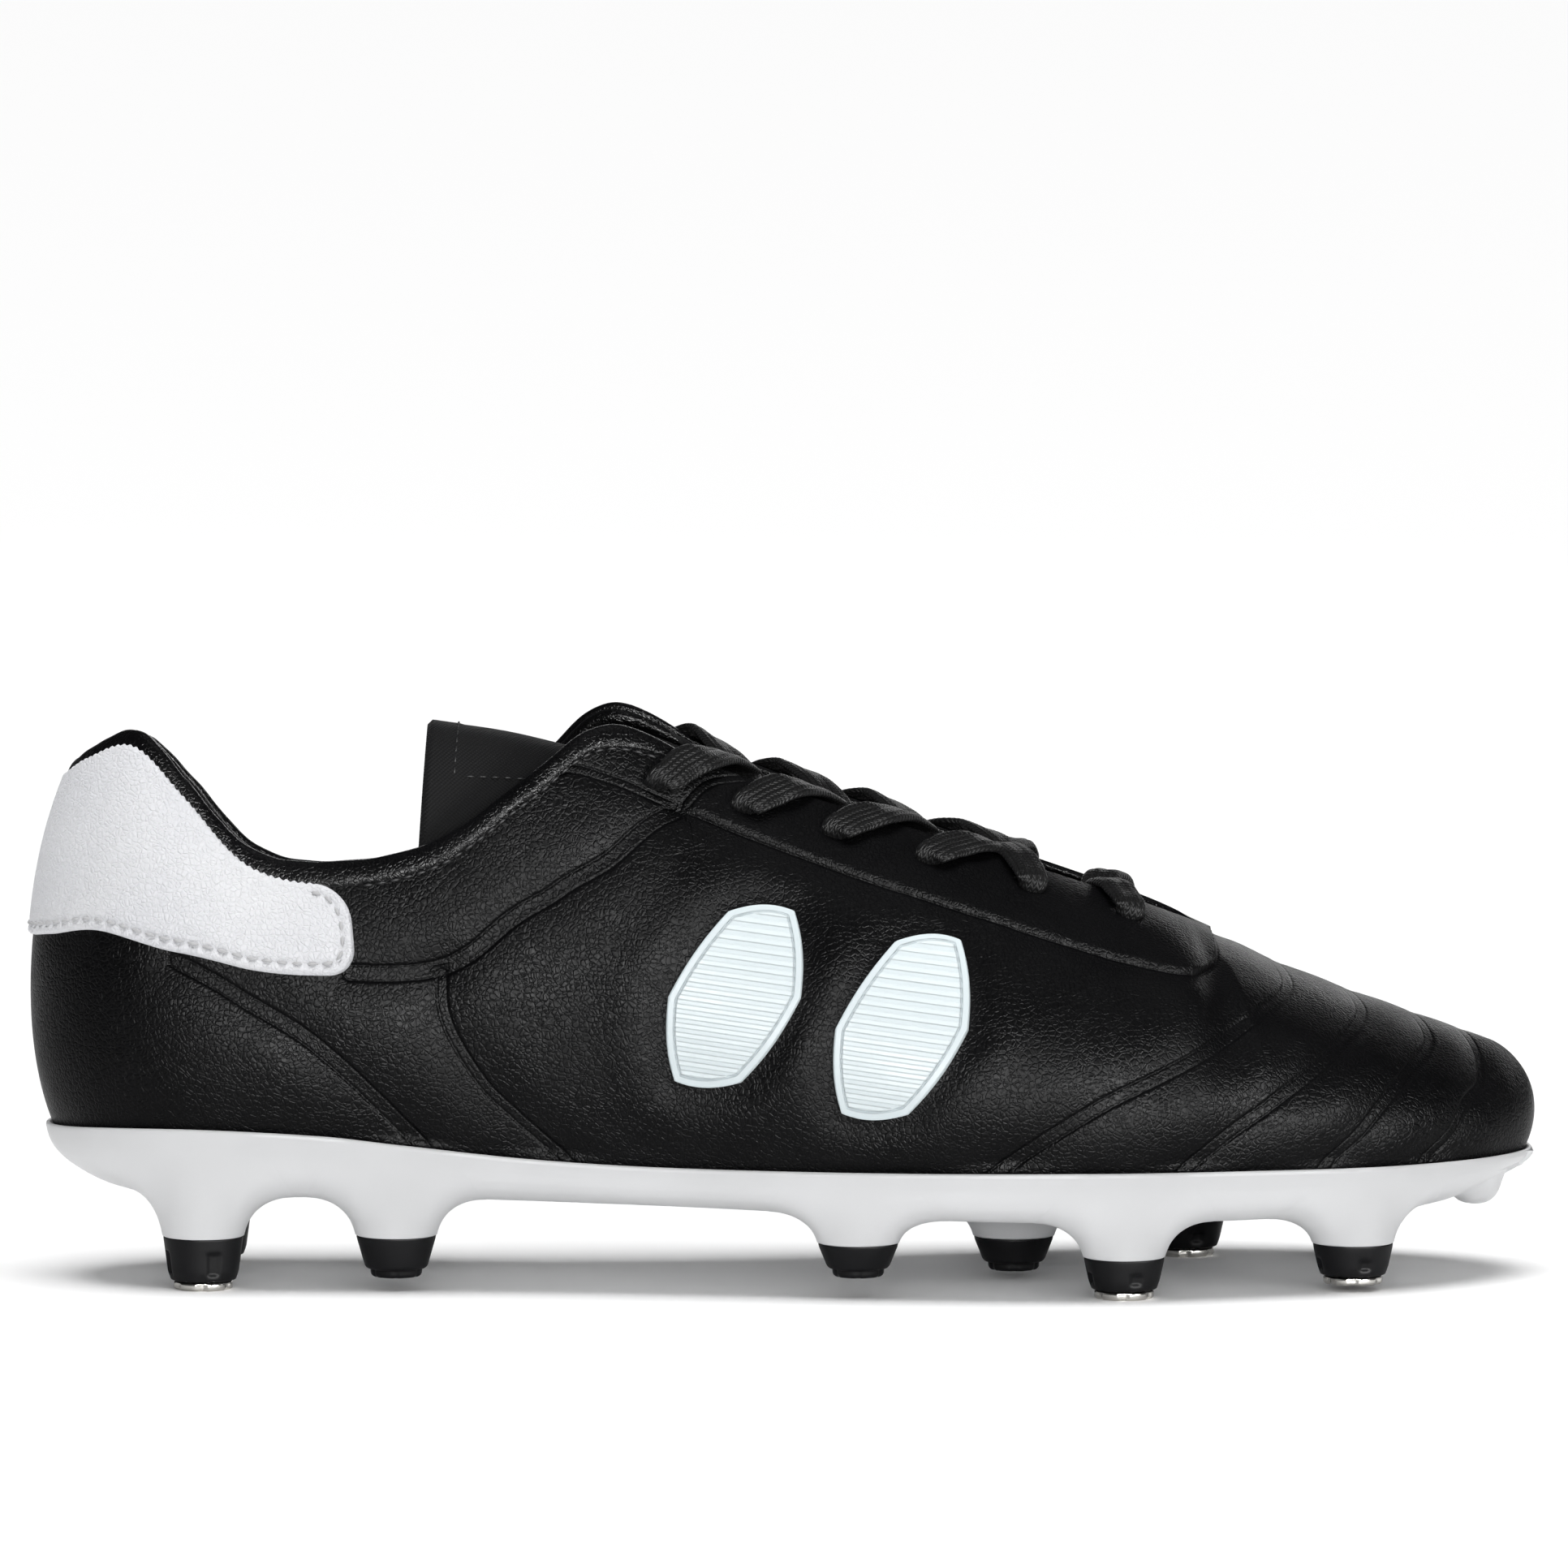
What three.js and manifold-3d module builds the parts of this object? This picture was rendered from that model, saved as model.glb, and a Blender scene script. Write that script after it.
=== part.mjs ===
// A right-foot football boot for soft ground, in millimetres.
//
// Frame: +X runs from the heel to the toe, +Y to the inner (medial) side of the foot and +Z up. The origin is the
// middle of the boot's bounding box at ground level. The boot stands on the four steel stud tips under the heel
// and the ball; the two under the toe hang just clear of the ground, because the sole springs up there.
//
// The upper is one surface per side, a skirt of wall curves. Each wall curve is a cubic Bezier that rises from the
// feather edge, where upper and sole meet, to the top edge: the collar, then the lace opening, then the ridge of
// the toe. Stations along the boot fix both ends and both handles. Every layer of the upper is that surface,
// thickened between two depths, so leather, stiffeners and lining nest with a gap between them.

import * as THREE from "three";
import { mergeVertices } from "three/addons/utils/BufferGeometryUtils.js";
import Module from "manifold-3d";

const wasm = await Module();
wasm.setup();

// ---- driving dimensions -------------------------------------------------------------------------------------

const LATERAL = -1;
const MEDIAL = 1;
const SIDES = [LATERAL, MEDIAL];
const CENTRING = new THREE.Vector3(0.45, 1, 0); // moves the design frame onto the middle of the bounding box
const GAP = 0.3; // between pieces that touch

// Height of the feather edge, as [x, z].
const FEATHER_HEIGHT = [
  [-141, 30.1], [-128, 31.2], [-111, 31.6], [-88, 30.6], [-72, 28.8], [-50, 26.5], [-26, 25.2], [5, 24.9],
  [60, 25.2], [90, 25], [114, 24.6], [143, 24.5],
];
// Height of the sole plate's flat underside, as [x, z].
const UNDERSIDE_HEIGHT = [
  [-141, 20], [-122, 17.4], [-72, 17], [-30, 16.1], [0, 15.3], [30, 14.2], [95, 13.8], [125, 16], [143, 20],
];

// One row per station: the feather edge's plan point on each side, as x, lateral y, medial y, then the lower
// handle's reach outwards and upwards from it.
const FEATHER = [
  [-140.3, 0, 0, 6.8, 18], [-137.5, -11, 11, 6.8, 18], [-130, -20.5, 20, 6.5, 19],
  [-117, -27.5, 26.5, 6.5, 19], [-100, -30.5, 29, 6, 17], [-82, -31, 28.5, 6, 16], [-62, -31, 26.5, 6, 17],
  [-42, -32.5, 25, 7, 20], [-20, -35.5, 26, 8, 24], [2, -40, 29.5, 9, 24], [24, -44, 35, 10, 24],
  [44, -46.2, 40.5, 10, 23], [62, -46, 44, 10, 22], [77, -43.2, 45, 9.5, 21], [91, -39, 43.5, 9, 20],
  [106, -33, 40.5, 8, 17], [120.5, -24.5, 35.5, 6.5, 14.5], [132.5, -14, 28, 5, 12],
  [140, -2.5, 18.5, 4.2, 11], [142.3, 8, 8, 4.8, 11],
];
// One row per station: the top edge on each side, as x, lateral y and z, medial y and z, then the upper handle's
// reach outwards and downwards from it. From RIDGE_START on, both sides share the ridge.
const TOP = [
  [-136.2, 0, 97.5, 0, 97.5, 7.8, 19.5], [-131.8, -8.3, 101.2, 8.3, 99.6, 8, 20],
  [-123.2, -14.5, 104.1, 14.5, 101.2, 8, 20], [-113.6, -19.4, 95, 19.2, 92.2, 7, 18],
  [-101.5, -23.4, 82.7, 23, 79, 6, 15], [-86, -26, 80.2, 25, 75.8, 6, 14], [-66, -27, 84.4, 26, 80.3, 6, 15],
  [-48.5, -25, 96.6, 24.5, 94.6, 7, 18], [-33, -19.5, 106, 19.5, 107.2, 12, 20],
  [-10, -14.5, 97.9, 15, 98.6, 16, 12], [16, -12, 89.4, 12.8, 89.6, 19, 9],
  [42, -9.8, 81.1, 11.2, 81.2, 21, 7], [64, -7, 73.8, 9.2, 73.8, 22, 5.5], [74, -4, 70, 6.4, 70, 23, 4],
  [79, 1.2, 67.4, 1.2, 67.4, 0, 0], [94, 3, 60.3, 3, 60.3, 0, 0], [108.5, 5, 54.5, 5, 54.5, 0, 0],
  [121.5, 6.5, 49.8, 6.5, 49.8, 0, 0], [130.5, 7.5, 46.6, 7.5, 46.6, 0, 0], [135, 8, 44.8, 8, 44.8, 0, 0],
];
const TOE = FEATHER.length - 1; // the last station
const RIDGE_START = 14; // the front end of the lace opening
const RIDGE_REACH = 0.55; // the upper handle's reach on the ridge, as a share of the way out to the feather edge

// Depths of the upper's layers below its outer face, as [outer face, inner face].
const LEATHER = [0, 1.5];
const STIFFENER = [2, 3];
const LINING = [3.5, 4.5];
const PADDING = [2, 5.5];
const BINDING = [-0.2, 4.4];
const OVERLAY = [-1.4, -0.4]; // sewn on outside the leather
const EMBLEM = [-1.3, -0.4]; // moulded on outside the leather
// The leather turned in under the foot, as [inset, share of the way down to the sole's underside].
const MARGIN = [[0.4, 0.24], [2, 0.45], [9, 0.5]];

// ---- curves -------------------------------------------------------------------------------------------------

const lerp = THREE.MathUtils.lerp;
const clamp = THREE.MathUtils.clamp;

// The height of a polyline of [x, z] points at x, smoothed between them.
function heightAt(points, x) {
  const last = points.length - 1;
  if (x <= points[0][0]) return points[0][1];
  if (x >= points[last][0]) return points[last][1];
  const i = points.findIndex((p) => p[0] > x) - 1;
  const slope = (k) => {
    const [a, b] = [points[Math.max(k - 1, 0)], points[Math.min(k + 1, last)]];
    return (b[1] - a[1]) / (b[0] - a[0]);
  };
  const [x0, z0] = points[i];
  const [x1, z1] = points[i + 1];
  const span = x1 - x0;
  const t = (x - x0) / span;
  return (
    z0 * (1 + 2 * t) * (1 - t) ** 2 +
    slope(i) * span * t * (1 - t) ** 2 +
    z1 * t * t * (3 - 2 * t) +
    slope(i + 1) * span * t * t * (t - 1)
  );
}

// Catmull-Rom through rows of numbers at u, with a phantom row before the first and after the last.
function along(rows, u, before, after) {
  const last = rows.length - 1;
  const i = clamp(Math.floor(u), 0, last - 1);
  const t = u - i;
  const row = (k) => (k < 0 ? before : k > last ? after : rows[k]);
  const [a, b, c, d] = [row(i - 1), row(i), row(i + 1), row(i + 2)];
  return b.map((_, k) => {
    const [m0, m1] = [(c[k] - a[k]) / 2, (d[k] - b[k]) / 2];
    return (
      b[k] * (1 + 2 * t) * (1 - t) ** 2 + m0 * t * (1 - t) ** 2 + c[k] * t * t * (3 - 2 * t) + m1 * t * t * (t - 1)
    );
  });
}

const featherRows = (side) => FEATHER.map(([x, lateral, medial, out, up]) => {
  return [x, side < 0 ? lateral : medial, out, up];
});
const topRows = (side) => TOP.map(([x, lateralY, lateralZ, medialY, medialZ, out, down]) => {
  return side < 0 ? [x, lateralY, lateralZ, out, down] : [x, medialY, medialZ, out, down];
});
const ROWS = {
  [LATERAL]: [featherRows(LATERAL), topRows(LATERAL)],
  [MEDIAL]: [featherRows(MEDIAL), topRows(MEDIAL)],
};
const mirrored = ([x, y, ...rest]) => [x, -y, ...rest];
const beyond = (rows) => rows[rows.length - 1].map((v, k) => 2 * v - rows[rows.length - 2][k]);

function featherAt(side, u) {
  const rows = ROWS[side][0];
  return along(rows, u, mirrored(rows[1]), ROWS[-side][0][TOE - 1]);
}

function topAt(side, u) {
  const rows = ROWS[side][1];
  return along(rows, u, mirrored(rows[1]), beyond(rows));
}

// The height at x of a share of the way from the feather edge down to the sole's underside, raised by an offset.
const soleHeight = (share, raise = 0) => (x) =>
  lerp(heightAt(FEATHER_HEIGHT, x), heightAt(UNDERSIDE_HEIGHT, x), share) + raise;

// The outward plan direction of the feather edge at u.
function outwardAt(side, u) {
  const step = 0.02;
  const [a, b] = [Math.max(u - step, 0), Math.min(u + step, TOE)];
  if (u === 0) return new THREE.Vector2(-1, 0);
  if (u === TOE) return new THREE.Vector2(1, 0);
  const [ax, ay] = featherAt(side, a);
  const [bx, by] = featherAt(side, b);
  return new THREE.Vector2(-side * (by - ay), side * (bx - ax)).normalize();
}

// The four Bezier points of the wall curve at u.
function wallHandles(side, u) {
  const [bx, by, out, up] = featherAt(side, u);
  const [tx, ty, tz, topOut, topDown] = topAt(side, u);
  const bz = heightAt(FEATHER_HEIGHT, bx);
  const n = outwardAt(side, u);
  const ridgeSlope = () => {
    const step = 0.1;
    const [ax, , az] = topAt(side, Math.max(u - step, RIDGE_START));
    const [cx, , cz] = topAt(side, Math.min(u + step, TOE));
    return (cz - az) / (cx - ax);
  };
  const reach = [RIDGE_REACH * (bx - tx), RIDGE_REACH * (by - ty)];
  const onRidge = new THREE.Vector3(tx + reach[0], ty + reach[1], tz + ridgeSlope() * reach[0]);
  const onEdge = new THREE.Vector3(tx + n.x * topOut, ty + n.y * topOut, tz - topDown);
  const upper = onEdge.lerp(onRidge, clamp(u - (RIDGE_START - 1), 0, 1));
  return [
    new THREE.Vector3(bx, by, bz),
    new THREE.Vector3(bx + n.x * out, by + n.y * out, bz + up),
    upper,
    new THREE.Vector3(tx, ty, tz),
  ];
}

// A point of the upper's outer face: v is 0 at the feather edge and 1 at the top edge.
function upperPoint(side, u, v) {
  const [a, b, c, d] = wallHandles(side, u);
  const w = 1 - v;
  return a.clone().multiplyScalar(w * w * w)
    .addScaledVector(b, 3 * w * w * v)
    .addScaledVector(c, 3 * w * v * v)
    .addScaledVector(d, v * v * v);
}

// The outward normal at a point of the outer face. Where the two sides meet, both give the same one.
function upperNormal(side, u, v) {
  const e = 1e-3;
  const du = upperPoint(side, Math.min(u + e, TOE), v).sub(upperPoint(side, Math.max(u - e, 0), v));
  const dv = upperPoint(side, u, Math.min(v + e, 1)).sub(upperPoint(side, u, Math.max(v - e, 0)));
  return du.cross(dv).multiplyScalar(-side).normalize();
}

function sharedNormal(side, u, v) {
  const n = upperNormal(side, u, v);
  const shared = u === 0 || u === TOE || (v === 1 && u >= RIDGE_START);
  return shared ? n.add(upperNormal(-side, u, v)).normalize() : n;
}

// The leather's turned-in margin below the feather edge: k is 0 at the edge and MARGIN.length at the inner end.
function marginPoint(side, u, k) {
  const [bx, by] = featherAt(side, u);
  const n = outwardAt(side, u);
  const [inset, share] = k === 0 ? [0, 0] : MARGIN[k - 1];
  const onItsSide = Math.min(side * by, GAP); // at the heel the margin may not cross the middle
  const y = side * Math.max(side * (by - n.y * inset), onItsSide);
  return new THREE.Vector3(bx - n.x * inset, y, soleHeight(share)(bx));
}

// The (u, v) whose outer-face point has this x and z, by Newton's method from the middle of the side.
function findOnUpper(side, x, z) {
  const rounds = 30;
  const e = 1e-3;
  let [u, v] = [9, 0.5];
  for (let k = 0; k < rounds; k++) {
    const p = upperPoint(side, u, v);
    const pu = upperPoint(side, u + e, v).sub(p).divideScalar(e);
    const pv = upperPoint(side, u, v + e).sub(p).divideScalar(e);
    const det = pu.x * pv.z - pv.x * pu.z;
    const [dx, dz] = [x - p.x, z - p.z];
    u = clamp(u + (dx * pv.z - pv.x * dz) / det, 0.01, TOE - 0.01);
    v = clamp(v + (pu.x * dz - dx * pu.z) / det, 0.01, 0.999);
  }
  return [u, v];
}

// ---- sheets and solids --------------------------------------------------------------------------------------

// A grid of points: rows of the values of point(i / nu, j / nv).
function grid(nu, nv, point) {
  const row = (i) => Array.from({ length: nv + 1 }, (_, j) => point(i / nu, j / nv));
  return Array.from({ length: nu + 1 }, (_, i) => row(i));
}

// Joins grids into one open sheet with shared vertices. Each grid says whether its faces are turned round. Points
// that carry their own normal keep it; the others get the mean of their faces.
function sheet(...grids) {
  const positions = [];
  const given = [];
  const push = (...points) => points.forEach((p) => {
    positions.push(p.x, p.y, p.z);
    given.push(...(p.normal ?? new THREE.Vector3()).toArray());
  });
  for (const { points, flip } of grids) {
    for (let i = 0; i + 1 < points.length; i++) {
      for (let j = 0; j + 1 < points[i].length; j++) {
        const [a, b, c, d] = [points[i][j], points[i + 1][j], points[i + 1][j + 1], points[i][j + 1]];
        if (flip) push(a, c, b, a, d, c);
        else push(a, b, c, a, c, d);
      }
    }
  }
  const g = new THREE.BufferGeometry().setAttribute("position", new THREE.Float32BufferAttribute(positions, 3));
  g.setAttribute("given", new THREE.Float32BufferAttribute(given, 3));
  const merged = withoutSlivers(mergeVertices(g, 1e-3));
  merged.computeVertexNormals();
  const [n, own] = [merged.getAttribute("normal"), merged.getAttribute("given")];
  for (let i = 0; i < n.count; i++) {
    const v = new THREE.Vector3().fromBufferAttribute(own, i);
    if (v.lengthSq() > 0) n.setXYZ(i, v.x, v.y, v.z);
  }
  return merged;
}

function withoutSlivers(g) {
  const index = [];
  const old = g.index.array;
  for (let i = 0; i < old.length; i += 3) {
    const [a, b, c] = [old[i], old[i + 1], old[i + 2]];
    if (a !== b && b !== c && c !== a) index.push(a, b, c);
  }
  g.setIndex(index);
  return g;
}

// The closed solid between two depths below an open sheet, measured along its normals.
function thicken(open, outer, inner) {
  const p = open.getAttribute("position");
  const n = open.getAttribute("normal");
  const count = p.count;
  const positions = new Float32Array(count * 6);
  for (let i = 0; i < count; i++) {
    for (const [offset, depth] of [[0, outer], [count, inner]]) {
      const k = 3 * (i + offset);
      positions[k] = p.getX(i) - n.getX(i) * depth;
      positions[k + 1] = p.getY(i) - n.getY(i) * depth;
      positions[k + 2] = p.getZ(i) - n.getZ(i) * depth;
    }
  }
  const faces = open.index.array;
  const index = [];
  const edges = new Map();
  for (let i = 0; i < faces.length; i += 3) {
    const [a, b, c] = [faces[i], faces[i + 1], faces[i + 2]];
    index.push(a, b, c, a + count, c + count, b + count);
    for (const [s, e] of [[a, b], [b, c], [c, a]]) edges.set(s + "," + e, [s, e]);
  }
  for (const [s, e] of edges.values()) {
    if (!edges.has(e + "," + s)) index.push(s, s + count, e + count, s, e + count, e);
  }
  return new THREE.BufferGeometry()
    .setAttribute("position", new THREE.BufferAttribute(positions, 3))
    .setIndex(index);
}

// A closed geometry as a manifold-3d solid, and back.
function toSolid(geometry) {
  const g = geometry.clone();
  g.deleteAttribute("normal");
  g.deleteAttribute("uv");
  const merged = mergeVertices(g, 1e-4);
  const vertProperties = new Float32Array(merged.attributes.position.array);
  const triVerts = new Uint32Array(merged.index.array);
  return new wasm.Manifold(new wasm.Mesh({ numProp: 3, vertProperties, triVerts }));
}

function toGeometry(solid) {
  const mesh = solid.getMesh();
  return new THREE.BufferGeometry()
    .setAttribute("position", new THREE.BufferAttribute(new Float32Array(mesh.vertProperties), 3))
    .setIndex(new THREE.BufferAttribute(new Uint32Array(mesh.triVerts), 1));
}

// A turned piece standing along +Z: the profile is [radius, z] from the axis round to the axis.
function turned(profile, segments = 20) {
  const g = new THREE.LatheGeometry(profile.map(([r, z]) => new THREE.Vector2(r, z)), segments);
  return g.rotateX(Math.PI / 2);
}

// ---- materials ----------------------------------------------------------------------------------------------

const material = (color, roughness, metalness = 0) => new THREE.MeshStandardMaterial({ color, roughness, metalness });
const MATERIALS = {
  leather: material(0x17171a, 0.45),
  whiteLeather: material(0xe9e9ec, 0.5),
  emblem: material(0xeef1f3, 0.35),
  lining: material(0x101012, 0.9),
  fabric: material(0x0d0d0e, 0.95),
  tongue: material(0x131315, 0.7),
  plate: material(0xe6e7e9, 0.4),
  studBlack: material(0x1a1a1e, 0.4),
  steel: material(0xc9c4bb, 0.2, 1),
  board: material(0xb9a98a, 0.9),
  foam: material(0x3a3a3d, 0.95),
  stiffener: material(0xd8d2c4, 0.8),
};

const boot = new THREE.Group();

function add(name, geometry, mat) {
  const mesh = new THREE.Mesh(geometry, mat);
  mesh.name = name;
  boot.add(mesh);
}

const sideName = (side) => (side < 0 ? "lateral" : "medial");

// ---- upper --------------------------------------------------------------------------------------------------

// Every piece of the upper is cut from one lattice per side, so that its facets lie along its neighbours'. Columns
// run from 0 at the heel through SEAM_COLUMN, where the quarter meets the vamp, to TOE_COLUMN. Rows are steps of v.
const SEAM_COLUMN = 20;
const TOE_COLUMN = 29;
const ROW = 0.125;
const SEAM = 0.045; // half the gap at a seam, in columns

// The seam runs back and down from the front of the lace opening.
const seamStation = (v) => lerp(11.1, 13.6, clamp(v, 0, 1) ** 1.4);

function stationAt(column, v) {
  if (column <= SEAM_COLUMN) return (column / SEAM_COLUMN) * seamStation(v);
  return lerp(seamStation(v), TOE, (column - SEAM_COLUMN) / (TOE_COLUMN - SEAM_COLUMN));
}

function latticePoint(side, column, v) {
  const u = stationAt(column, v);
  const p = upperPoint(side, u, v);
  p.normal = sharedNormal(side, u, v);
  return p;
}

// The multiples of a step between two values, with both values at the ends.
function stops(first, last, step) {
  const inner = [];
  for (let k = Math.floor(first / step) + 1; k * step < last - step * 1e-3; k++) inner.push(k * step);
  return [first, ...inner.filter((x) => x > first + step * 1e-3), last];
}

// A patch of one side's outer face. Its front edge may depend on v, by end(v) columns.
function patch(side, first, last, low, high, end = () => 0) {
  const columns = stops(first, last, 1);
  const rows = stops(low, high, ROW);
  const front = columns.length - 1;
  const points = columns.map((c, i) => rows.map((v) => latticePoint(side, i < front ? c : c + end(v), v)));
  return { points, flip: side > 0 };
}

// The same from the top edge down to the feather edge, with the turned-in margin.
function lastedPatch(side, first, last) {
  const { points, flip } = patch(side, first, last, 0, 1);
  stops(first, last, 1).forEach((c, i) => {
    const margin = MARGIN.map((_, k) => marginPoint(side, stationAt(c, 0), k + 1));
    points[i].unshift(...margin.reverse());
  });
  return { points, flip };
}

// Straight pegs through the upper at the eyelets, to cut the holes with and to thread the lace through.
const EYELET_U = [8.7, 9.25, 9.8, 10.5, 11.25, 12.1];
const EYELET_V = 0.86;
const EYELET_HOLE = 2.7;
const EYELET_PEG = 16; // longer than all the layers together

function eyeletAt(side, row) {
  const [u, e] = [EYELET_U[row], 1e-3];
  const p = upperPoint(side, u, EYELET_V);
  const pu = upperPoint(side, u + e, EYELET_V).sub(p);
  const pv = upperPoint(side, u, EYELET_V + e).sub(p);
  const normal = pu.cross(pv).multiplyScalar(-side).normalize();
  return { point: p, normal };
}

function eyeletPeg(side, row, radius, length) {
  const { point, normal } = eyeletAt(side, row);
  const g = new THREE.CylinderGeometry(radius, radius, length, 8);
  const turn = new THREE.Quaternion().setFromUnitVectors(new THREE.Vector3(0, 1, 0), normal);
  return toSolid(g.applyQuaternion(turn).translate(point.x, point.y, point.z));
}

function withEyelets(geometry, side) {
  const holes = EYELET_U.map((_, row) => eyeletPeg(side, row, EYELET_HOLE, EYELET_PEG));
  return toGeometry(holes.reduce((solid, hole) => solid.subtract(hole), toSolid(geometry)));
}

function addLeather() {
  const vamp = SIDES.map((side) => lastedPatch(side, SEAM_COLUMN + SEAM, TOE_COLUMN));
  add("vamp", thicken(sheet(...vamp), ...LEATHER), MATERIALS.leather);
  for (const side of SIDES) {
    const quarter = lastedPatch(side, SEAM, SEAM_COLUMN - SEAM);
    add(`quarter_${sideName(side)}`, withEyelets(thicken(sheet(quarter), ...LEATHER), side), MATERIALS.leather);
  }
}

// Where the inner layers lie, as [first column, last column, lowest v, highest v].
const COUNTER_AREA = [0, 8, ROW, 0.55];
const TOE_PUFF_AREA = [26, TOE_COLUMN, ROW, 1];
const FACING_AREA = [13, 19, 0.75, 1];
const VAMP_LINING_AREA = [SEAM_COLUMN + SEAM, TOE_COLUMN, ROW, 1];
const QUARTER_LINING_AREA = [SEAM, SEAM_COLUMN - SEAM, ROW, 0.625];
const PADDING_AREA = [0, 11, 0.66, 1];

function addStiffeners() {
  const counter = SIDES.map((side) => patch(side, ...COUNTER_AREA));
  add("heel_counter", thicken(sheet(...counter), ...STIFFENER), MATERIALS.stiffener);
  const puff = SIDES.map((side) => patch(side, ...TOE_PUFF_AREA));
  add("toe_puff", thicken(sheet(...puff), ...STIFFENER), MATERIALS.stiffener);
  for (const side of SIDES) {
    const name = `eyestay_facing_${sideName(side)}`;
    const facing = patch(side, ...FACING_AREA);
    add(name, withEyelets(thicken(sheet(facing), ...STIFFENER), side), MATERIALS.fabric);
  }
}

function addLining() {
  const toe = SIDES.map((side) => patch(side, ...VAMP_LINING_AREA));
  add("vamp_lining", thicken(sheet(...toe), ...LINING), MATERIALS.lining);
  for (const side of SIDES) {
    const quarter = patch(side, ...QUARTER_LINING_AREA);
    add(`quarter_lining_${sideName(side)}`, thicken(sheet(quarter), ...LINING), MATERIALS.lining);
  }
}

function addCollar() {
  const padding = SIDES.map((side) => patch(side, ...PADDING_AREA));
  add("collar_padding", thicken(sheet(...padding), ...PADDING), MATERIALS.lining);
}

// The rolled binding that caps the collar's edge, as a strip standing on top of the leather and the padding.
function addBinding() {
  const [low, high] = [2 * GAP, 2.6];
  const [end, justBelow] = [11.5, 0.98];
  const strips = SIDES.map((side) => {
    const points = stops(0, end, 1).map((column) => {
      const p = latticePoint(side, column, 1);
      const up = p.clone().sub(latticePoint(side, column, justBelow)).normalize();
      return [low, high].map((h) => {
        const q = p.clone().addScaledVector(up, h);
        q.normal = p.normal;
        return q;
      });
    });
    return { points, flip: side > 0 };
  });
  add("collar_binding", thicken(sheet(...strips), ...BINDING), MATERIALS.leather);
}

// The sewn white piece round the heel, with a rounded front end.
function addHeelOverlay() {
  const [front, low, high, corner] = [8.2, 0.56, 0.95, 0.9];
  const end = (v) => -corner * Math.abs((2 * (v - low)) / (high - low) - 1) ** 3;
  const panels = SIDES.map((side) => patch(side, 0, front, low, high, end));
  add("heel_overlay", thicken(sheet(...panels), ...OVERLAY), MATERIALS.whiteLeather);
}

// Two ribbed plastic plates per side, each a long hexagon with rounded corners that leans forward.
const EMBLEM_CENTRES = [[-9.5, 57.5], [22, 52]];
const EMBLEM_HALF = [13, 19];
const EMBLEM_LEAN = 0.32;
const EMBLEM_SOFTNESS = { radius: 0.95, share: 0.35 }; // how far the hexagon is drawn towards a circle

// The radius of a unit hexagon, softened at its corners, at an angle.
function hexagonRadius(angle) {
  const sector = Math.PI / 3;
  const off = ((angle % sector) + sector) % sector - sector / 2;
  return lerp(Math.cos(sector / 2) / Math.cos(off), EMBLEM_SOFTNESS.radius, EMBLEM_SOFTNESS.share);
}

function emblemPoint(side, [cx, cz], angle, share) {
  const r = hexagonRadius(angle) * share;
  const [dx, dz] = [EMBLEM_HALF[0] * r * Math.cos(angle), EMBLEM_HALF[1] * r * Math.sin(angle)];
  const [u, v] = findOnUpper(side, cx + dx + EMBLEM_LEAN * dz, cz + dz);
  const p = upperPoint(side, u, v);
  p.normal = upperNormal(side, u, v);
  return p;
}

function addEmblems() {
  const [spokes, rings] = [18, 2];
  for (const side of SIDES) {
    EMBLEM_CENTRES.forEach((centre, k) => {
      const points = grid(spokes, rings, (a, b) => emblemPoint(side, centre, a * 2 * Math.PI, 1 - b));
      const name = `emblem_${sideName(side)}_${k ? "front" : "rear"}`;
      add(name, thicken(sheet({ points, flip: side > 0 }), ...EMBLEM), MATERIALS.emblem);
    });
  }
}

// ---- sole ---------------------------------------------------------------------------------------------------

// Rings round the sole plate, each an inset from the feather edge and a height: from the floor up the inside of
// the rim, which follows the leather's turned-in margin, then down the outer wall to the underside.
const CUP = [[9, 0.5, -0.35], [1.8, 0.46, -0.35], [0.05, 0.25], [-0.35, 0, -0.4], [-1.1, 0, -0.4]];
const WALL = [[-0.9, 0.12], [-0.3, 0.32], [0.9, 0.5], [3.4, 0.7], [8.5, 0.92], [14, 1]];
// The space the stud bosses may fill: they flare into the wall but never stand out from it.
const BOSS_SPACE = [[0.3, 0.45], [1.1, 0.75], [1.6, 1], [1.8, 1, -10]];
// The grip lump under the toe: its centre and half sizes.
const BUMPER = { centre: [131.8, 6, 16.8], half: [4.6, 11, 4.4] };
const BOARD = { inset: 7, thick: 1.4 };
const SOCKLINER = { inset: 6, thick: 3 };

function solePoint(side, column, [inset, share, raise]) {
  const u = stationAt(column, 0);
  const [x, y] = featherAt(side, u);
  const n = outwardAt(side, u);
  const moved = y - n.y * inset;
  const onItsSide = side * Math.max(side * moved, 0);
  return new THREE.Vector3(x - n.x * inset, u === TOE ? moved : onItsSide, soleHeight(share, raise)(x));
}

// A closed solid stacked from rings, from the top down, with a strip across the first and the last.
function stacked(rings) {
  const columns = stops(0, TOE_COLUMN, 1);
  const grids = [];
  const line = (side, ring) => columns.map((c) => solePoint(side, c, ring));
  for (const side of SIDES) {
    grids.push({ points: rings.map((ring) => line(side, ring)), flip: side > 0 });
  }
  const across = (ring) => [line(LATERAL, ring), line(MEDIAL, ring)];
  grids.push({ points: across(rings[0]), flip: true });
  grids.push({ points: across(rings[rings.length - 1]), flip: false });
  return withoutNormals(sheet(...grids));
}

function withoutNormals(g) {
  return new THREE.BufferGeometry().setAttribute("position", g.getAttribute("position")).setIndex(g.index);
}

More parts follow.
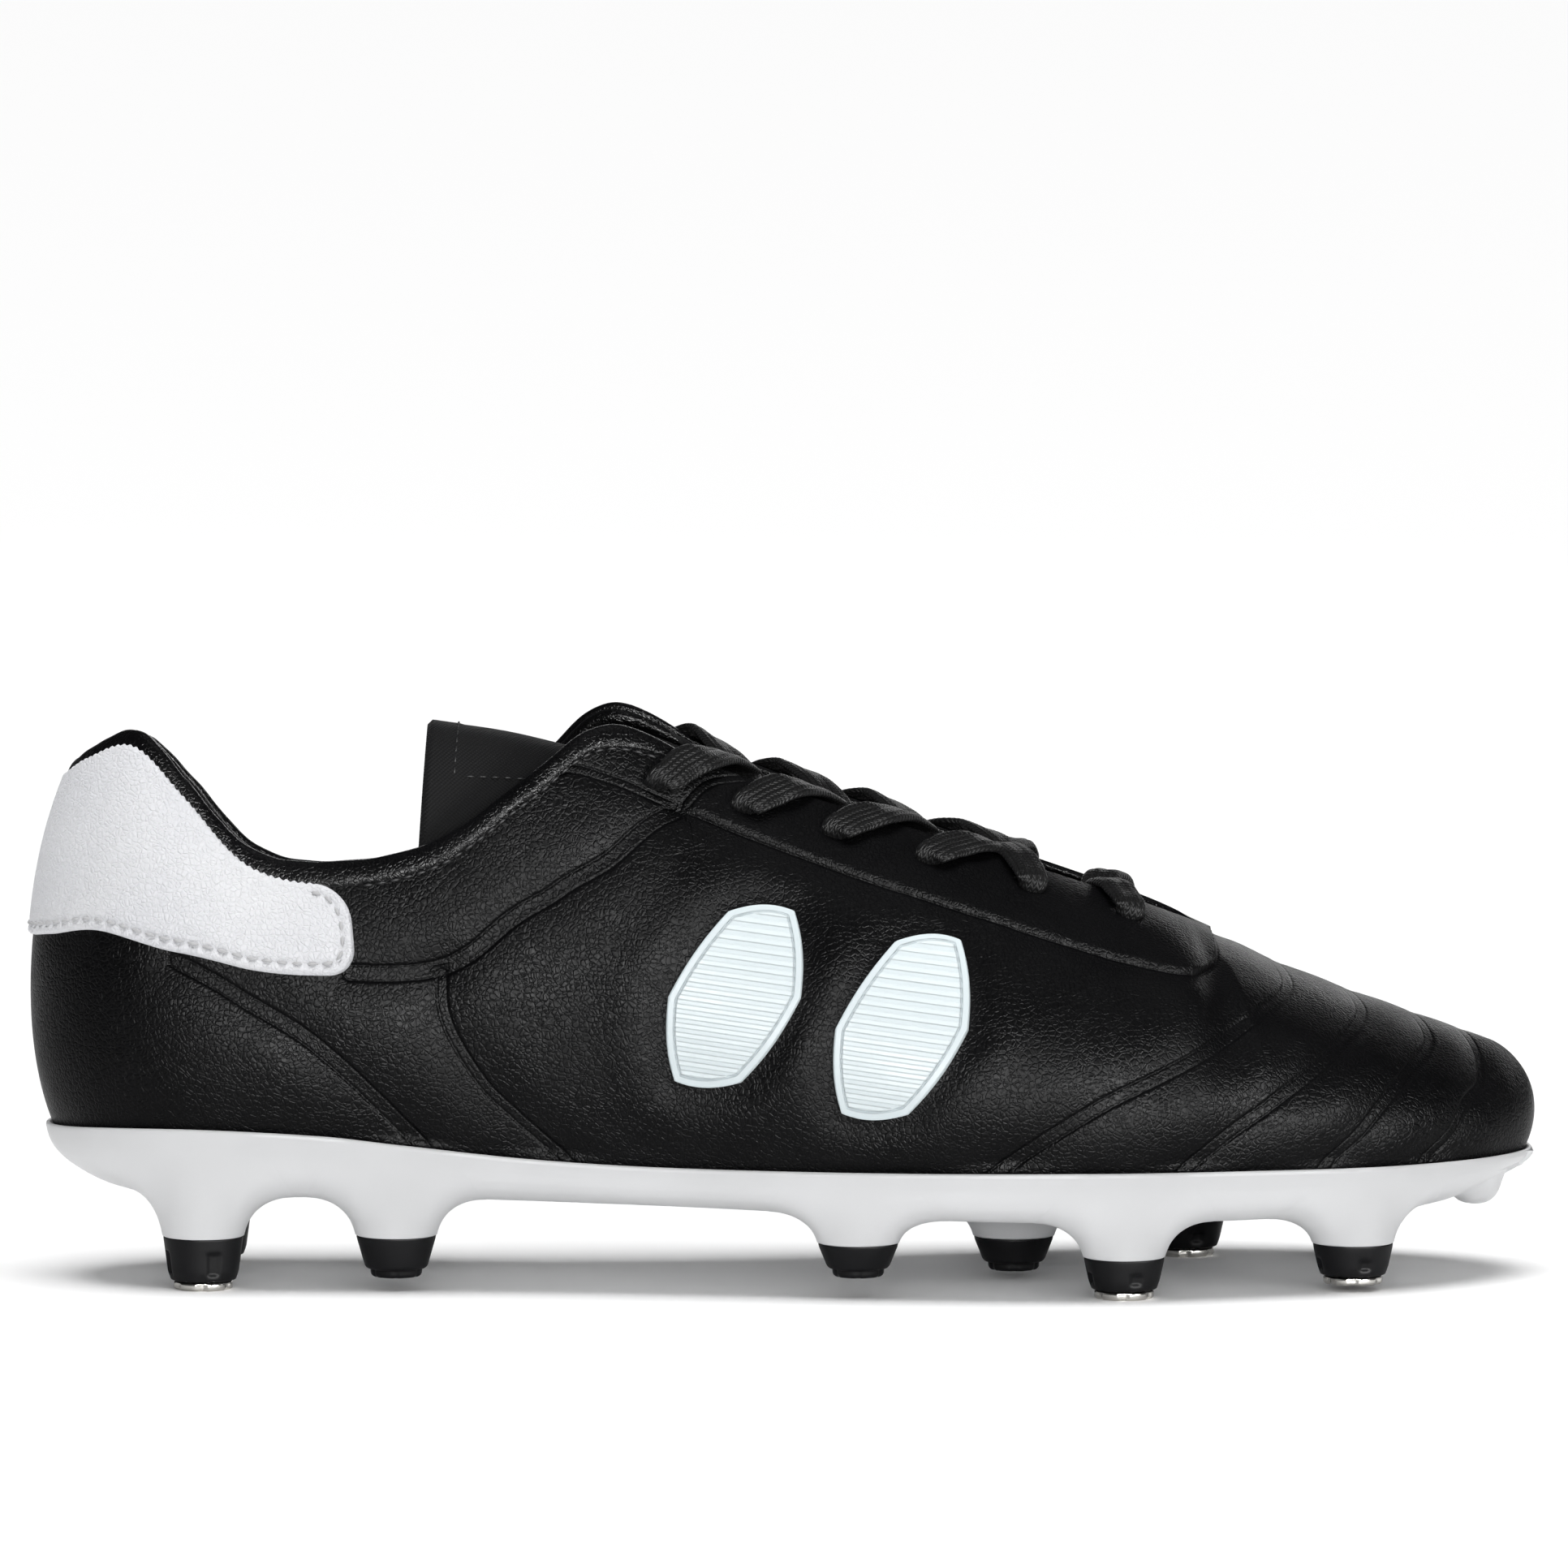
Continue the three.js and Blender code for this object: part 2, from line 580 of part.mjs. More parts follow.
// Studs, as their name, place, the height where boss and stud meet, and the height of the tip.
const SCREW_STUDS = [
  ["heel_lateral", -110.6, -20.5, 10, 0],
  ["heel_medial", -110.6, 19.5, 10, 0],
  ["ball_lateral", 64.2, -35, 7.7, 0],
  ["ball_medial", 77.6, 33, 7.7, 0],
  ["toe_lateral", 108, -22, 8.9, 1.2],
  ["toe_medial", 110, 29, 8.9, 1.2],
];
const MOULDED_STUDS = [
  ["heel_lateral", -73.9, -20.5, 10.2, 2.4],
  ["heel_medial", -73.9, 17.5, 10.2, 2.4],
  ["waist_lateral", 13.9, -32, 10.1, 3.8],
  ["waist_medial", 46.1, 30, 8.6, 2.8],
  ["centre", 43.8, -3, 8, 1.6],
];
const STUD_RADIUS = 7.6;
const SHANK_RADIUS = 2.6;
const SOCKET = { outer: 4.5, inner: 2.9, height: 5.6 };
const PEG = { radius: 4.2, height: 4.2 };
// The boss's flare into the plate, as the radius beyond the stud's and the share of the rise to the underside.
const FLARE = [[0.4, 0], [1, 0.35], [3.2, 0.72], [8, 1]];
const BOSS_SINK = 1.5; // how far the boss runs on into the plate
const BUMPER_FLOOR = [[2, 0.62], [2, 1, -10]]; // the space that the grip lump may fill
// The numbers of sides that stand for the round pieces.
const BOSS_SIDES = 16;
const STUD_SIDES = 14;
const BORE_SIDES = 12;

function stand(geometry, x, y, z) {
  return geometry.translate(x, y, z);
}

function addPlate() {
  const bosses = [...SCREW_STUDS, ...MOULDED_STUDS].map(([, x, y, top]) => {
    const rise = heightAt(UNDERSIDE_HEIGHT, x) - top;
    const flare = FLARE.map(([out, share]) => [STUD_RADIUS + out, share * rise]);
    const crown = rise + BOSS_SINK;
    const profile = [[0, 0], ...flare, [STUD_RADIUS + FLARE[FLARE.length - 1][0], crown], [0, crown]];
    return toSolid(stand(turned(profile, BOSS_SIDES), x, y, top));
  });
  const kept = toSolid(stacked(BOSS_SPACE)).intersect(wasm.Manifold.union(bosses));
  const ball = new THREE.SphereGeometry(1, 12, 8);
  const lump = toSolid(ball.scale(...BUMPER.half).translate(...BUMPER.centre));
  const floor = toSolid(stacked(BUMPER_FLOOR));
  let plate = toSolid(stacked([...CUP, ...WALL])).add(kept).add(lump.intersect(floor));
  const bore = (radius, depth) => turned([[0, -1], [radius, -1], [radius, depth], [0, depth]], BORE_SIDES);
  for (const [, x, y, top] of SCREW_STUDS) {
    plate = plate.subtract(toSolid(stand(bore(SOCKET.outer + GAP, SOCKET.height + 2 * GAP), x, y, top)));
  }
  for (const [, x, y, top] of MOULDED_STUDS) {
    plate = plate.subtract(toSolid(stand(bore(PEG.radius + GAP, PEG.height + GAP), x, y, top)));
  }
  add("outsole_plate", toGeometry(plate), MATERIALS.plate);
}

// A black sleeve on a steel pin: the pin's head is the stud's tip, and its threaded shank screws into the socket.
function addScrewStud([name, x, y, top, tip]) {
  const head = { radius: 5.6, height: 1.6, bevel: 0.4 };
  const collar = { foot: 6.2, radius: 6.7, height: 1.6 };
  const foot = tip + head.height + GAP;
  const drop = foot - top;
  const bore = SHANK_RADIUS + GAP;
  const sleeve = [
    [bore, drop], [collar.foot, drop], [collar.radius, drop + collar.height], [STUD_RADIUS, -GAP], [bore, -GAP],
    [bore, drop],
  ];
  add(`stud_sleeve_${name}`, stand(turned(sleeve, STUD_SIDES), x, y, top), MATERIALS.studBlack);
  const pinTop = SOCKET.height + GAP;
  const base = tip - top;
  const pin = [
    [0, base], [head.radius - head.bevel, base], [head.radius, base + head.bevel],
    [head.radius, base + head.height],
    [SHANK_RADIUS, base + head.height], [SHANK_RADIUS, pinTop], [0, pinTop],
  ];
  add(`stud_pin_${name}`, stand(turned(pin, BORE_SIDES), x, y, top), MATERIALS.steel);
  const { outer, inner, height } = SOCKET;
  const socket = [[inner, GAP], [outer, GAP], [outer, GAP + height], [inner, GAP + height], [inner, GAP]];
  add(`stud_socket_${name}`, stand(turned(socket, BORE_SIDES), x, y, top), MATERIALS.steel);
}

// A black stud with a narrower stepped tip, held in its boss by a peg.
function addMouldedStud([name, x, y, top, tip]) {
  const base = tip - top;
  const step = { foot: 4.4, radius: 4.7, height: 1.6 };
  const [shoulder, crown] = [5.8, STUD_RADIUS - 0.2];
  const stud = [
    [0, base], [step.foot, base], [step.radius, base + step.height], [shoulder, base + step.height], [crown, -GAP],
    [PEG.radius, -GAP], [PEG.radius, PEG.height], [0, PEG.height],
  ];
  add(`moulded_stud_${name}`, stand(turned(stud, STUD_SIDES), x, y, top), MATERIALS.studBlack);
}

// The board the leather is lasted round, and the loose foam sockliner on top of it.
function addInsoles() {
  const floor = LEATHER[1] + 2 * GAP; // above the underside of the turned-in margin
  const halfway = 0.5; // down to the sole's underside, where the margin lies
  const slab = (inset, bottom, thick) => stacked([[inset, halfway, bottom + thick], [inset, halfway, bottom]]);
  add("insole_board", slab(BOARD.inset, floor, BOARD.thick), MATERIALS.board);
  add("sockliner", slab(SOCKLINER.inset, floor + BOARD.thick + GAP, SOCKLINER.thick), MATERIALS.foam);
}

// ---- tongue and lace ----------------------------------------------------------------------------------------

// Tongue sections from the free end forward, as x, height on the middle line, half width and edge drop.
const TONGUE = [
  [-68, 107.2, 19, 24], [-50, 104, 17.5, 18], [-34, 100.2, 16.5, 13], [-20, 96.8, 16, 11], [-10, 94, 16, 10],
  [16, 85.6, 16, 9], [42, 77.2, 16, 8], [62, 69.4, 14.5, 6.5], [74, 63.4, 12, 5], [82, 60.2, 10, 4],
];
const TONGUE_THICK = 2.2;
const TONGUE_HINGE = -34.5;
const TONGUE_CUT = 0.4; // between the flap and the base
// The crown across the tongue: the edge drop's shares that fall with the square and with the fourth power.
const TONGUE_CROWN = [0.35, 0.65];

// The tongue's upper face: s runs across, from -1 on the lateral edge to 1 on the medial one.
function tonguePoint(x, s) {
  const at = (k) => heightAt(TONGUE.map((row) => [row[0], row[k]]), x);
  const middle = lerp(0, 1.2, clamp((x - TONGUE_HINGE) / 100, 0, 1));
  const drop = at(3) * (TONGUE_CROWN[0] * s * s + TONGUE_CROWN[1] * s ** 4);
  return new THREE.Vector3(x, middle + s * at(2), at(1) - drop);
}

function tongueGeometry(from, to, steps) {
  const points = grid(steps, 8, (a, b) => tonguePoint(lerp(from, to, a), 2 * b - 1));
  return thicken(sheet({ points, flip: false }), 0, TONGUE_THICK);
}

function addTongue() {
  const [rear, front] = [TONGUE[0][0], TONGUE[TONGUE.length - 1][0]];
  add("tongue_flap", tongueGeometry(rear, TONGUE_HINGE - TONGUE_CUT, 5), MATERIALS.tongue);
  add("tongue_base", tongueGeometry(TONGUE_HINGE, front, 14), MATERIALS.tongue);
}

// The lace is a flat band that narrows where it dives through an eyelet. A key is a point, the direction of the
// band's width there, its width and its thickness.
const LACE = { width: 8, neck: 2.5, thick: 1.2 };

function laceKeysAt(side, row) {
  const { point, normal } = eyeletAt(side, row);
  const edge = upperPoint(side, EYELET_U[row], 1);
  const across = edge.clone().sub(point).normalize();
  const forward = new THREE.Vector3().crossVectors(across, normal).normalize();
  if (forward.x < 0) forward.negate();
  const offset = (a, n) => point.clone().addScaledVector(across, a).addScaledVector(normal, n);
  const span = edge.distanceTo(point);
  return {
    over: [
      { p: offset(span + 1, 1.4), w: forward, width: LACE.width },
      { p: offset(span * 0.5, 2), w: forward, width: LACE.width * 0.9 },
      { p: offset(1.2, 1.3), w: forward, width: LACE.neck * 1.6 },
      { p: offset(0, -1.4), w: forward.clone().add(across).normalize(), width: LACE.neck },
    ],
    under: (direction) => {
      return { p: offset(-0.6, -4.7).addScaledVector(forward, 2.2 * direction), w: across, width: LACE.neck };
    },
    down: [
      { p: offset(-1.5, -4.6), w: forward, width: LACE.neck },
      { p: offset(-6, -5.6), w: forward, width: LACE.neck },
    ],
    tail: [offset(-6.6, -5.7), offset(-15, -7.2)],
  };
}

function laceKeys() {
  const clear = new THREE.Vector3(0, 0, 3.4); // above the tongue
  const forward = new THREE.Vector3(1, 0, -0.3).normalize();
  const keys = [];
  const rows = EYELET_U.length;
  for (let k = 0; k < rows; k++) {
    const row = rows - 1 - k;
    const start = k % 2 ? MEDIAL : LATERAL;
    const [near, far] = [laceKeysAt(start, row), laceKeysAt(-start, row)];
    keys.push(...(k === 0 ? [...near.down].reverse() : [near.under(1)]), ...[...near.over].reverse());
    const x = (near.over[0].p.x + far.over[0].p.x) / 2;
    keys.push({ p: tonguePoint(x, 0).add(clear), w: forward, width: LACE.width });
    keys.push(...far.over, ...(k === rows - 1 ? far.down : [far.under(-1)]));
  }
  return keys;
}

function laceGeometry() {
  const keys = laceKeys();
  const curve = new THREE.CatmullRomCurve3(keys.map((k) => k.p), false, "centripetal");
  const perKey = 2;
  const steps = perKey * (keys.length - 1);
  let last = keys[0].w;
  const points = Array.from({ length: steps + 1 }, (_, i) => {
    const t = i / steps;
    const k = Math.min(Math.floor(i / perKey), keys.length - 2);
    const f = i / perKey - k;
    const [a, b] = [keys[k], keys[k + 1]];
    const turnTo = (w) => (w.dot(last) < 0 ? w.clone().negate() : w.clone());
    const wide = turnTo(a.w).lerp(turnTo(b.w), f);
    const tangent = curve.getTangent(t);
    wide.addScaledVector(tangent, -wide.dot(tangent)).normalize();
    last = wide;
    const normal = new THREE.Vector3().crossVectors(tangent, wide).normalize();
    const p = curve.getPoint(t);
    return [-0.5, 0.5].map((s) => {
      const q = p.clone().addScaledVector(wide, s * lerp(a.width, b.width, f));
      q.normal = normal;
      return q;
    });
  });
  return thicken(sheet({ points, flip: false }), -LACE.thick / 2, LACE.thick / 2);
}

function addLace() {
  add("lace", laceGeometry(), MATERIALS.fabric);
  const [radius, sides, place] = [1.1, 10, 0.52];
  const ends = { front: laceKeysAt(LATERAL, EYELET_U.length - 1).tail, rear: laceKeysAt(LATERAL, 0).tail };
  for (const [name, [from, to]] of Object.entries(ends)) {
    const g = new THREE.CylinderGeometry(radius, radius, from.distanceTo(to) - GAP, sides);
    const direction = to.clone().sub(from).normalize();
    const turn = new THREE.Quaternion().setFromUnitVectors(new THREE.Vector3(0, 1, 0), direction);
    const middle = from.clone().lerp(to, place);
    add(`aglet_${name}`, g.applyQuaternion(turn).translate(middle.x, middle.y, middle.z), MATERIALS.studBlack);
  }
}

addLeather();
addStiffeners();
addLining();
addCollar();
addBinding();
addHeelOverlay();
addEmblems();
addPlate();
SCREW_STUDS.forEach(addScrewStud);
MOULDED_STUDS.forEach(addMouldedStud);
addInsoles();
addTongue();
addLace();

boot.position.copy(CENTRING);
export default boot;
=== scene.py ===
"""The looks of a right football boot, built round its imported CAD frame.

Lengths in the tables are millimetres in the design frame: +X to the toe, +Y to the inner side of the foot,
+Z up from the ground. add_piece() turns them into metres in the row's frame.
"""

import math

import bpy
import numpy as np
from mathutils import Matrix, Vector


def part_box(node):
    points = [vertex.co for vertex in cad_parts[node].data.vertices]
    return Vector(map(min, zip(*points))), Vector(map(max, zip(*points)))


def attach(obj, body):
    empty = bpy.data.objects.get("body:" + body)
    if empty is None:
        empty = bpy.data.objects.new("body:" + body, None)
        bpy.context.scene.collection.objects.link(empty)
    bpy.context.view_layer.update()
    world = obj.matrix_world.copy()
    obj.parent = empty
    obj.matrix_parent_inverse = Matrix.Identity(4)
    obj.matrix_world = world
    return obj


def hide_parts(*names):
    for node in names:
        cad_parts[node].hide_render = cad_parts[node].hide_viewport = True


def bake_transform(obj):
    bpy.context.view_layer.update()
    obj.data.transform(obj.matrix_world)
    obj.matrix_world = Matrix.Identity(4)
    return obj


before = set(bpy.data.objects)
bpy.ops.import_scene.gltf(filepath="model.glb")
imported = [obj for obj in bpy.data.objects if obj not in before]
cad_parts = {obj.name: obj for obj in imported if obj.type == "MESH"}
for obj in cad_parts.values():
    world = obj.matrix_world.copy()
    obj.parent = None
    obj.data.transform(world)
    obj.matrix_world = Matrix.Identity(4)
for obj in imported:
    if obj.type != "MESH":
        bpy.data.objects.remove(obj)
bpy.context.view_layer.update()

MM = 0.001
CENTRING = np.array([0.45, 1.0, 0.0])  # from the design frame to the middle of the boot's box


# ---- the upper's surface ------------------------------------------------------------------------------------

LATERAL, MEDIAL = -1, 1
SIDE_NAMES = {LATERAL: "lateral", MEDIAL: "medial"}
# Height of the feather edge, where the upper meets the sole, and of the sole's underside, as (x, z).
FEATHER_HEIGHT = [
    (-141, 30.1), (-128, 31.2), (-111, 31.6), (-88, 30.6), (-72, 28.8), (-50, 26.5), (-26, 25.2), (5, 24.9),
    (60, 25.2), (90, 25), (114, 24.6), (143, 24.5),
]
UNDERSIDE_HEIGHT = [
    (-141, 20), (-122, 17.4), (-72, 17), (-30, 16.1), (0, 15.3), (30, 14.2), (95, 13.8), (125, 14.8), (143, 20),
]
# Stations of the feather edge: x, lateral y, medial y, then the lower handle's reach outwards and upwards.
FEATHER = [
    (-140.3, 0, 0, 6.8, 18), (-137.5, -11, 11, 6.8, 18), (-130, -20.5, 20, 6.5, 19),
    (-117, -27.5, 26.5, 6.5, 19), (-100, -30.5, 29, 6, 17), (-82, -31, 28.5, 6, 16), (-62, -31, 26.5, 6, 17),
    (-42, -32.5, 25, 7, 20), (-20, -35.5, 26, 8, 24), (2, -40, 29.5, 9, 24), (24, -44, 35, 10, 24),
    (44, -46.2, 40.5, 10, 23), (62, -46, 44, 10, 22), (77, -43.2, 45, 9.5, 21), (91, -39, 43.5, 9, 20),
    (106, -33, 40.5, 8, 17), (120.5, -24.5, 35.5, 6.5, 14.5), (132.5, -14, 28, 5, 12),
    (140, -2.5, 18.5, 4.2, 11), (142.3, 8, 8, 4.8, 11),
]
# Stations of the top edge: x, lateral y and z, medial y and z, then the upper handle's reach out and down.
TOP = [
    (-136.2, 0, 97.5, 0, 97.5, 7.8, 19.5), (-131.8, -8.3, 101.2, 8.3, 99.6, 8, 20),
    (-123.2, -14.5, 104.1, 14.5, 101.2, 8, 20), (-113.6, -19.4, 95, 19.2, 92.2, 7, 18),
    (-101.5, -23.4, 82.7, 23, 79, 6, 15), (-86, -26, 80.2, 25, 75.8, 6, 14), (-66, -27, 84.4, 26, 80.3, 6, 15),
    (-48.5, -25, 96.6, 24.5, 94.6, 7, 18), (-33, -19.5, 106, 19.5, 107.2, 12, 20),
    (-10, -14.5, 97.9, 15, 98.6, 16, 12), (16, -12, 89.4, 12.8, 89.6, 19, 9),
    (42, -9.8, 81.1, 11.2, 81.2, 21, 7), (64, -7, 73.8, 9.2, 73.8, 22, 5.5), (74, -4, 70, 6.4, 70, 23, 4),
    (79, 1.2, 67.4, 1.2, 67.4, 0, 0), (94, 3, 60.3, 3, 60.3, 0, 0), (108.5, 5, 54.5, 5, 54.5, 0, 0),
    (121.5, 6.5, 49.8, 6.5, 49.8, 0, 0), (130.5, 7.5, 46.6, 7.5, 46.6, 0, 0), (135, 8, 44.8, 8, 44.8, 0, 0),
]
TOE = len(FEATHER) - 1  # the last station
RIDGE_START = 14  # from this station on, the two sides meet in one ridge
RIDGE_REACH = 0.55  # how far from the ridge to the edge its handle reaches
TINY = 1e-3  # the step that slopes are measured over


def height_at(points, x):
    """The smooth curve through (x, value) points, at x."""
    px, pz = np.array(points).T
    x = np.clip(x, px[0], px[-1])
    last = len(px) - 1
    i = np.clip(np.searchsorted(px, x, side="right") - 1, 0, last - 1)
    low, high = np.maximum(np.arange(last + 1) - 1, 0), np.minimum(np.arange(last + 1) + 1, last)
    slope = (pz[high] - pz[low]) / (px[high] - px[low])
    span = px[i + 1] - px[i]
    t = (x - px[i]) / span
    return (
        pz[i] * (1 + 2 * t) * (1 - t) ** 2
        + slope[i] * span * t * (1 - t) ** 2
        + pz[i + 1] * t * t * (3 - 2 * t)
        + slope[i + 1] * span * t * t * (t - 1)
    )


def unit(vectors):
    return vectors / np.linalg.norm(vectors, axis=-1, keepdims=True)


def smoothed(rows, times):
    """Rows evened out along their first index, with both ends held."""
    rows = rows.copy()
    for _ in range(times):
        rows[1:-1] = (rows[:-2] + 2 * rows[1:-1] + rows[2:]) / 4
    return rows


def along(rows, u):
    """Catmull-Rom through rows at u. rows has one phantom row before station 0 and one after the last."""
    u = np.asarray(u, float)
    i = np.clip(np.floor(u).astype(int), 0, len(rows) - 4)
    t = (u - i)[..., None]
    a, b, c, d = (rows[i + k] for k in range(4))
    m0, m1 = (c - a) / 2, (d - b) / 2
    return (
        b * (1 + 2 * t) * (1 - t) ** 2
        + m0 * t * (1 - t) ** 2
        + c * t * t * (3 - 2 * t)
        + m1 * t * t * (t - 1)
    )


def station_rows(side):
    """One side's rows of both tables, with the phantom rows that along() needs."""
    lateral = side < 0
    other = [(r[0], r[2] if lateral else r[1], r[3], r[4]) for r in FEATHER]
    feather = [(r[0], r[1] if lateral else r[2], r[3], r[4]) for r in FEATHER]
    top = [(r[0], r[1], r[2], r[5], r[6]) if lateral else (r[0], r[3], r[4], r[5], r[6]) for r in TOP]
    mirror = lambda r: (r[0], -r[1], *r[2:])
    beyond = tuple(2 * p - q for p, q in zip(top[-1], top[-2]))
    return (
        np.array([mirror(feather[1]), *feather, other[-2]], float),
        np.array([mirror(top[1]), *top, beyond], float),
    )


ROWS = {side: station_rows(side) for side in (LATERAL, MEDIAL)}


def feather_at(side, u):
    return along(ROWS[side][0], u)


def top_at(side, u):
    return along(ROWS[side][1], u)


def outward_at(side, u):
    """The plan direction out of the foot at the feather edge."""
    u = np.asarray(u, float)
    reach = 0.02
    d = feather_at(side, np.minimum(u + reach, TOE)) - feather_at(side, np.maximum(u - reach, 0))
    n = np.stack([-side * d[..., 1], side * d[..., 0]], -1)
    n[u <= 0] = (-1, 0)
    n[u >= TOE] = (1, 0)
    return unit(n)


def wall_handles(side, u):
    """The four control points of the curve up one side's wall, from the feather edge to the top."""
    f, t = feather_at(side, u), top_at(side, u)
    bx, by, out, up = (f[..., k] for k in range(4))
    tx, ty, tz, top_out, top_down = (t[..., k] for k in range(5))
    bz = height_at(FEATHER_HEIGHT, bx)
    n = outward_at(side, u)
    behind = top_at(side, np.maximum(u - 0.1, RIDGE_START))
    ahead = top_at(side, np.clip(u + 0.1, RIDGE_START + 0.1, TOE))
    slope = (ahead[..., 2] - behind[..., 2]) / (ahead[..., 0] - behind[..., 0])
    rx, ry = RIDGE_REACH * (bx - tx), RIDGE_REACH * (by - ty)
    on_ridge = np.stack([tx + rx, ty + ry, tz + slope * rx], -1)
    on_edge = np.stack([tx + n[..., 0] * top_out, ty + n[..., 1] * top_out, tz - top_down], -1)
    share = np.clip(u - (RIDGE_START - 1), 0, 1)[..., None]
    return (
        np.stack([bx, by, bz], -1),
        np.stack([bx + n[..., 0] * out, by + n[..., 1] * out, bz + up], -1),
        on_edge * (1 - share) + on_ridge * share,
        np.stack([tx, ty, tz], -1),
    )


def upper_point(side, u, v):
    """A point of one side's outer face: station u, and v from the feather edge to the top."""
    a, b, c, d = wall_handles(side, u)
    v = np.asarray(v, float)[..., None]
    w = 1 - v
    return a * w**3 + b * 3 * w * w * v + c * 3 * w * v * v + d * v**3


def surface_grid(us, vs):
    """(u, v) at every crossing, with v running fastest."""
    u, v = np.meshgrid(us, vs, indexing="ij")
    return u.ravel(), v.ravel()


def upper_normal(side, u, v):
    du = upper_point(side, np.minimum(u + TINY, TOE), v) - upper_point(side, np.maximum(u - TINY, 0), v)
    dv = upper_point(side, u, np.minimum(v + TINY, 1)) - upper_point(side, u, np.maximum(v - TINY, 0))
    return unit(np.cross(du, dv) * -side)


def find_on_upper(side, x, z):
    """The (u, v) of points with this x and z on one side's outer face: Newton steps from a coarse search."""
    gu, gv = surface_grid(np.linspace(0.05, TOE - 0.05, 160), np.linspace(0.01, 0.99, 32))
    there = upper_point(side, gu, gv)
    x, z = np.asarray(x, float), np.asarray(z, float)
    nearest = ((there[:, 0] - x[:, None]) ** 2 + (there[:, 2] - z[:, None]) ** 2).argmin(1)
    u, v = gu[nearest], gv[nearest]
    for _ in range(12):
        p = upper_point(side, u, v)
        pu, pv = (upper_point(side, u + TINY, v) - p) / TINY, (upper_point(side, u, v + TINY) - p) / TINY
        det = pu[:, 0] * pv[:, 2] - pv[:, 0] * pu[:, 2]
        dx, dz = x - p[:, 0], z - p[:, 2]
        u = np.clip(u + np.clip((dx * pv[:, 2] - pv[:, 0] * dz) / det, -0.2, 0.2), 0, TOE)
        v = np.clip(v + np.clip((pu[:, 0] * dz - dx * pu[:, 2]) / det, -0.05, 0.05), 0, 0.999)
    p = upper_point(side, u, v)
    lost = np.hypot(p[:, 0] - x, p[:, 2] - z) > 0.4
    return np.where(lost, gu[nearest], u), np.where(lost, gv[nearest], v)


def smooth_curve(points, steps):
    """A Catmull-Rom curve through points, with steps samples from each to the next."""
    p = np.asarray(points, float)
    rows = np.vstack([2 * p[0] - p[1], p, 2 * p[-1] - p[-2]])
    return along(rows, np.linspace(0, len(p) - 1, steps * (len(p) - 1) + 1))


def length_along(points):
    return np.concatenate([[0], np.cumsum(np.linalg.norm(np.diff(points, axis=0), axis=1))])


def even_points(points, spacing):
    """Points the same distance apart on a polyline, near to spacing."""
    at = length_along(points)
    count = max(int(round(at[-1] / spacing)), 1) + 1
    wanted = np.linspace(0, at[-1], count)
    return np.stack([np.interp(wanted, at, points[:, k]) for k in range(points.shape[1])], -1)


def smoothstep(x, low=0.0, high=1.0):
    t = np.clip((np.asarray(x, float) - low) / (high - low), 0, 1)
    return t * t * (3 - 2 * t)


def distance_to(points, line, reach):
    """The distance from each point to a polyline, or reach for points further off."""
    found = np.full(len(points), float(reach))
    low, high = line.min(0) - reach, line.max(0) + reach
    near = np.nonzero(((points >= low) & (points <= high)).all(1))[0]
    for part in np.array_split(near, max(len(near) // 4000, 1)):
        p = points[part][:, None]
        a, d = line[:-1], np.diff(line, axis=0)
        t = np.clip(((p - a) * d).sum(-1) / np.maximum((d * d).sum(-1), 1e-12), 0, 1)
        gap = np.linalg.norm(p - a - t[..., None] * d, axis=-1).min(1) if len(part) else np.zeros(0)
        found[part] = np.minimum(gap, reach)
    return found


def inside(polygon, x, y):
    """True for the points within a polygon, by counting crossings."""
    ax, ay = polygon.T
    bx, by = np.roll(polygon, -1, axis=0).T
    found = np.zeros(len(x), bool)
    for part in np.array_split(np.arange(len(x)), max(len(x) // 20000, 1)):
        px, py = x[part][:, None], y[part][:, None]
        crosses = (ay > py) != (by > py)
        at = ax + (py - ay) * (bx - ax) / np.where(by == ay, 1e-12, by - ay)
        found[part] = (crosses & (px < at)).sum(1) % 2 == 1
    return found


# ---- meshes -------------------------------------------------------------------------------------------------


def quads(nu, nv, flip=False, start=0):
    """Faces of a grid of nu by nv points, with the second index running fastest."""
    i, j = np.meshgrid(np.arange(nu - 1), np.arange(nv - 1), indexing="ij")
    a = (start + i * nv + j).ravel()
    made = np.stack([a, a + nv, a + nv + 1, a + 1], -1)
    return made[:, ::-1] if flip else made


def weld(points, faces, tolerance=2e-3):
    """Merges points at the same place. Returns points, a list of faces, and the old point of each new one."""
    keys = np.round(points / tolerance).astype(np.int64)
    _, first, where = np.unique(keys, axis=0, return_index=True, return_inverse=True)
    merged = where.reshape(-1)[faces]
    kept = []
    for face in merged.tolist():
        ring = [p for k, p in enumerate(face) if p != face[k - 1]]
        if len(set(ring)) >= 3 and len(set(ring)) == len(ring):
            kept.append(ring)
    return points[first], kept, first


def side_by_side(grids, flip):
    """The lateral and the medial grid as one list of points and faces. flip is the side to turn over."""
    size = grids[0].shape[0] * grids[0].shape[1]
    faces = [
        quads(*grid.shape[:2], flip=side == flip, start=size * (side == MEDIAL))
        for side, grid in zip((LATERAL, MEDIAL), grids)
    ]
    return np.concatenate([grid.reshape(-1, 3) for grid in grids]), np.concatenate(faces)


def bridged(grids, flip):
    """Both sides' grids, which run from the edge inwards, welded and closed by a strip along the middle."""
    points, faces = side_by_side(grids, flip)
    a, b = (grid[:, -1:] for grid in grids)
    strip = a + (b - a) * np.linspace(0, 1, 9)[:, None]
    closing = quads(*strip.shape[:2], flip=flip == LATERAL, start=len(points))
    return weld(np.concatenate([points, strip.reshape(-1, 3)]), np.concatenate([faces, closing]))[:2]


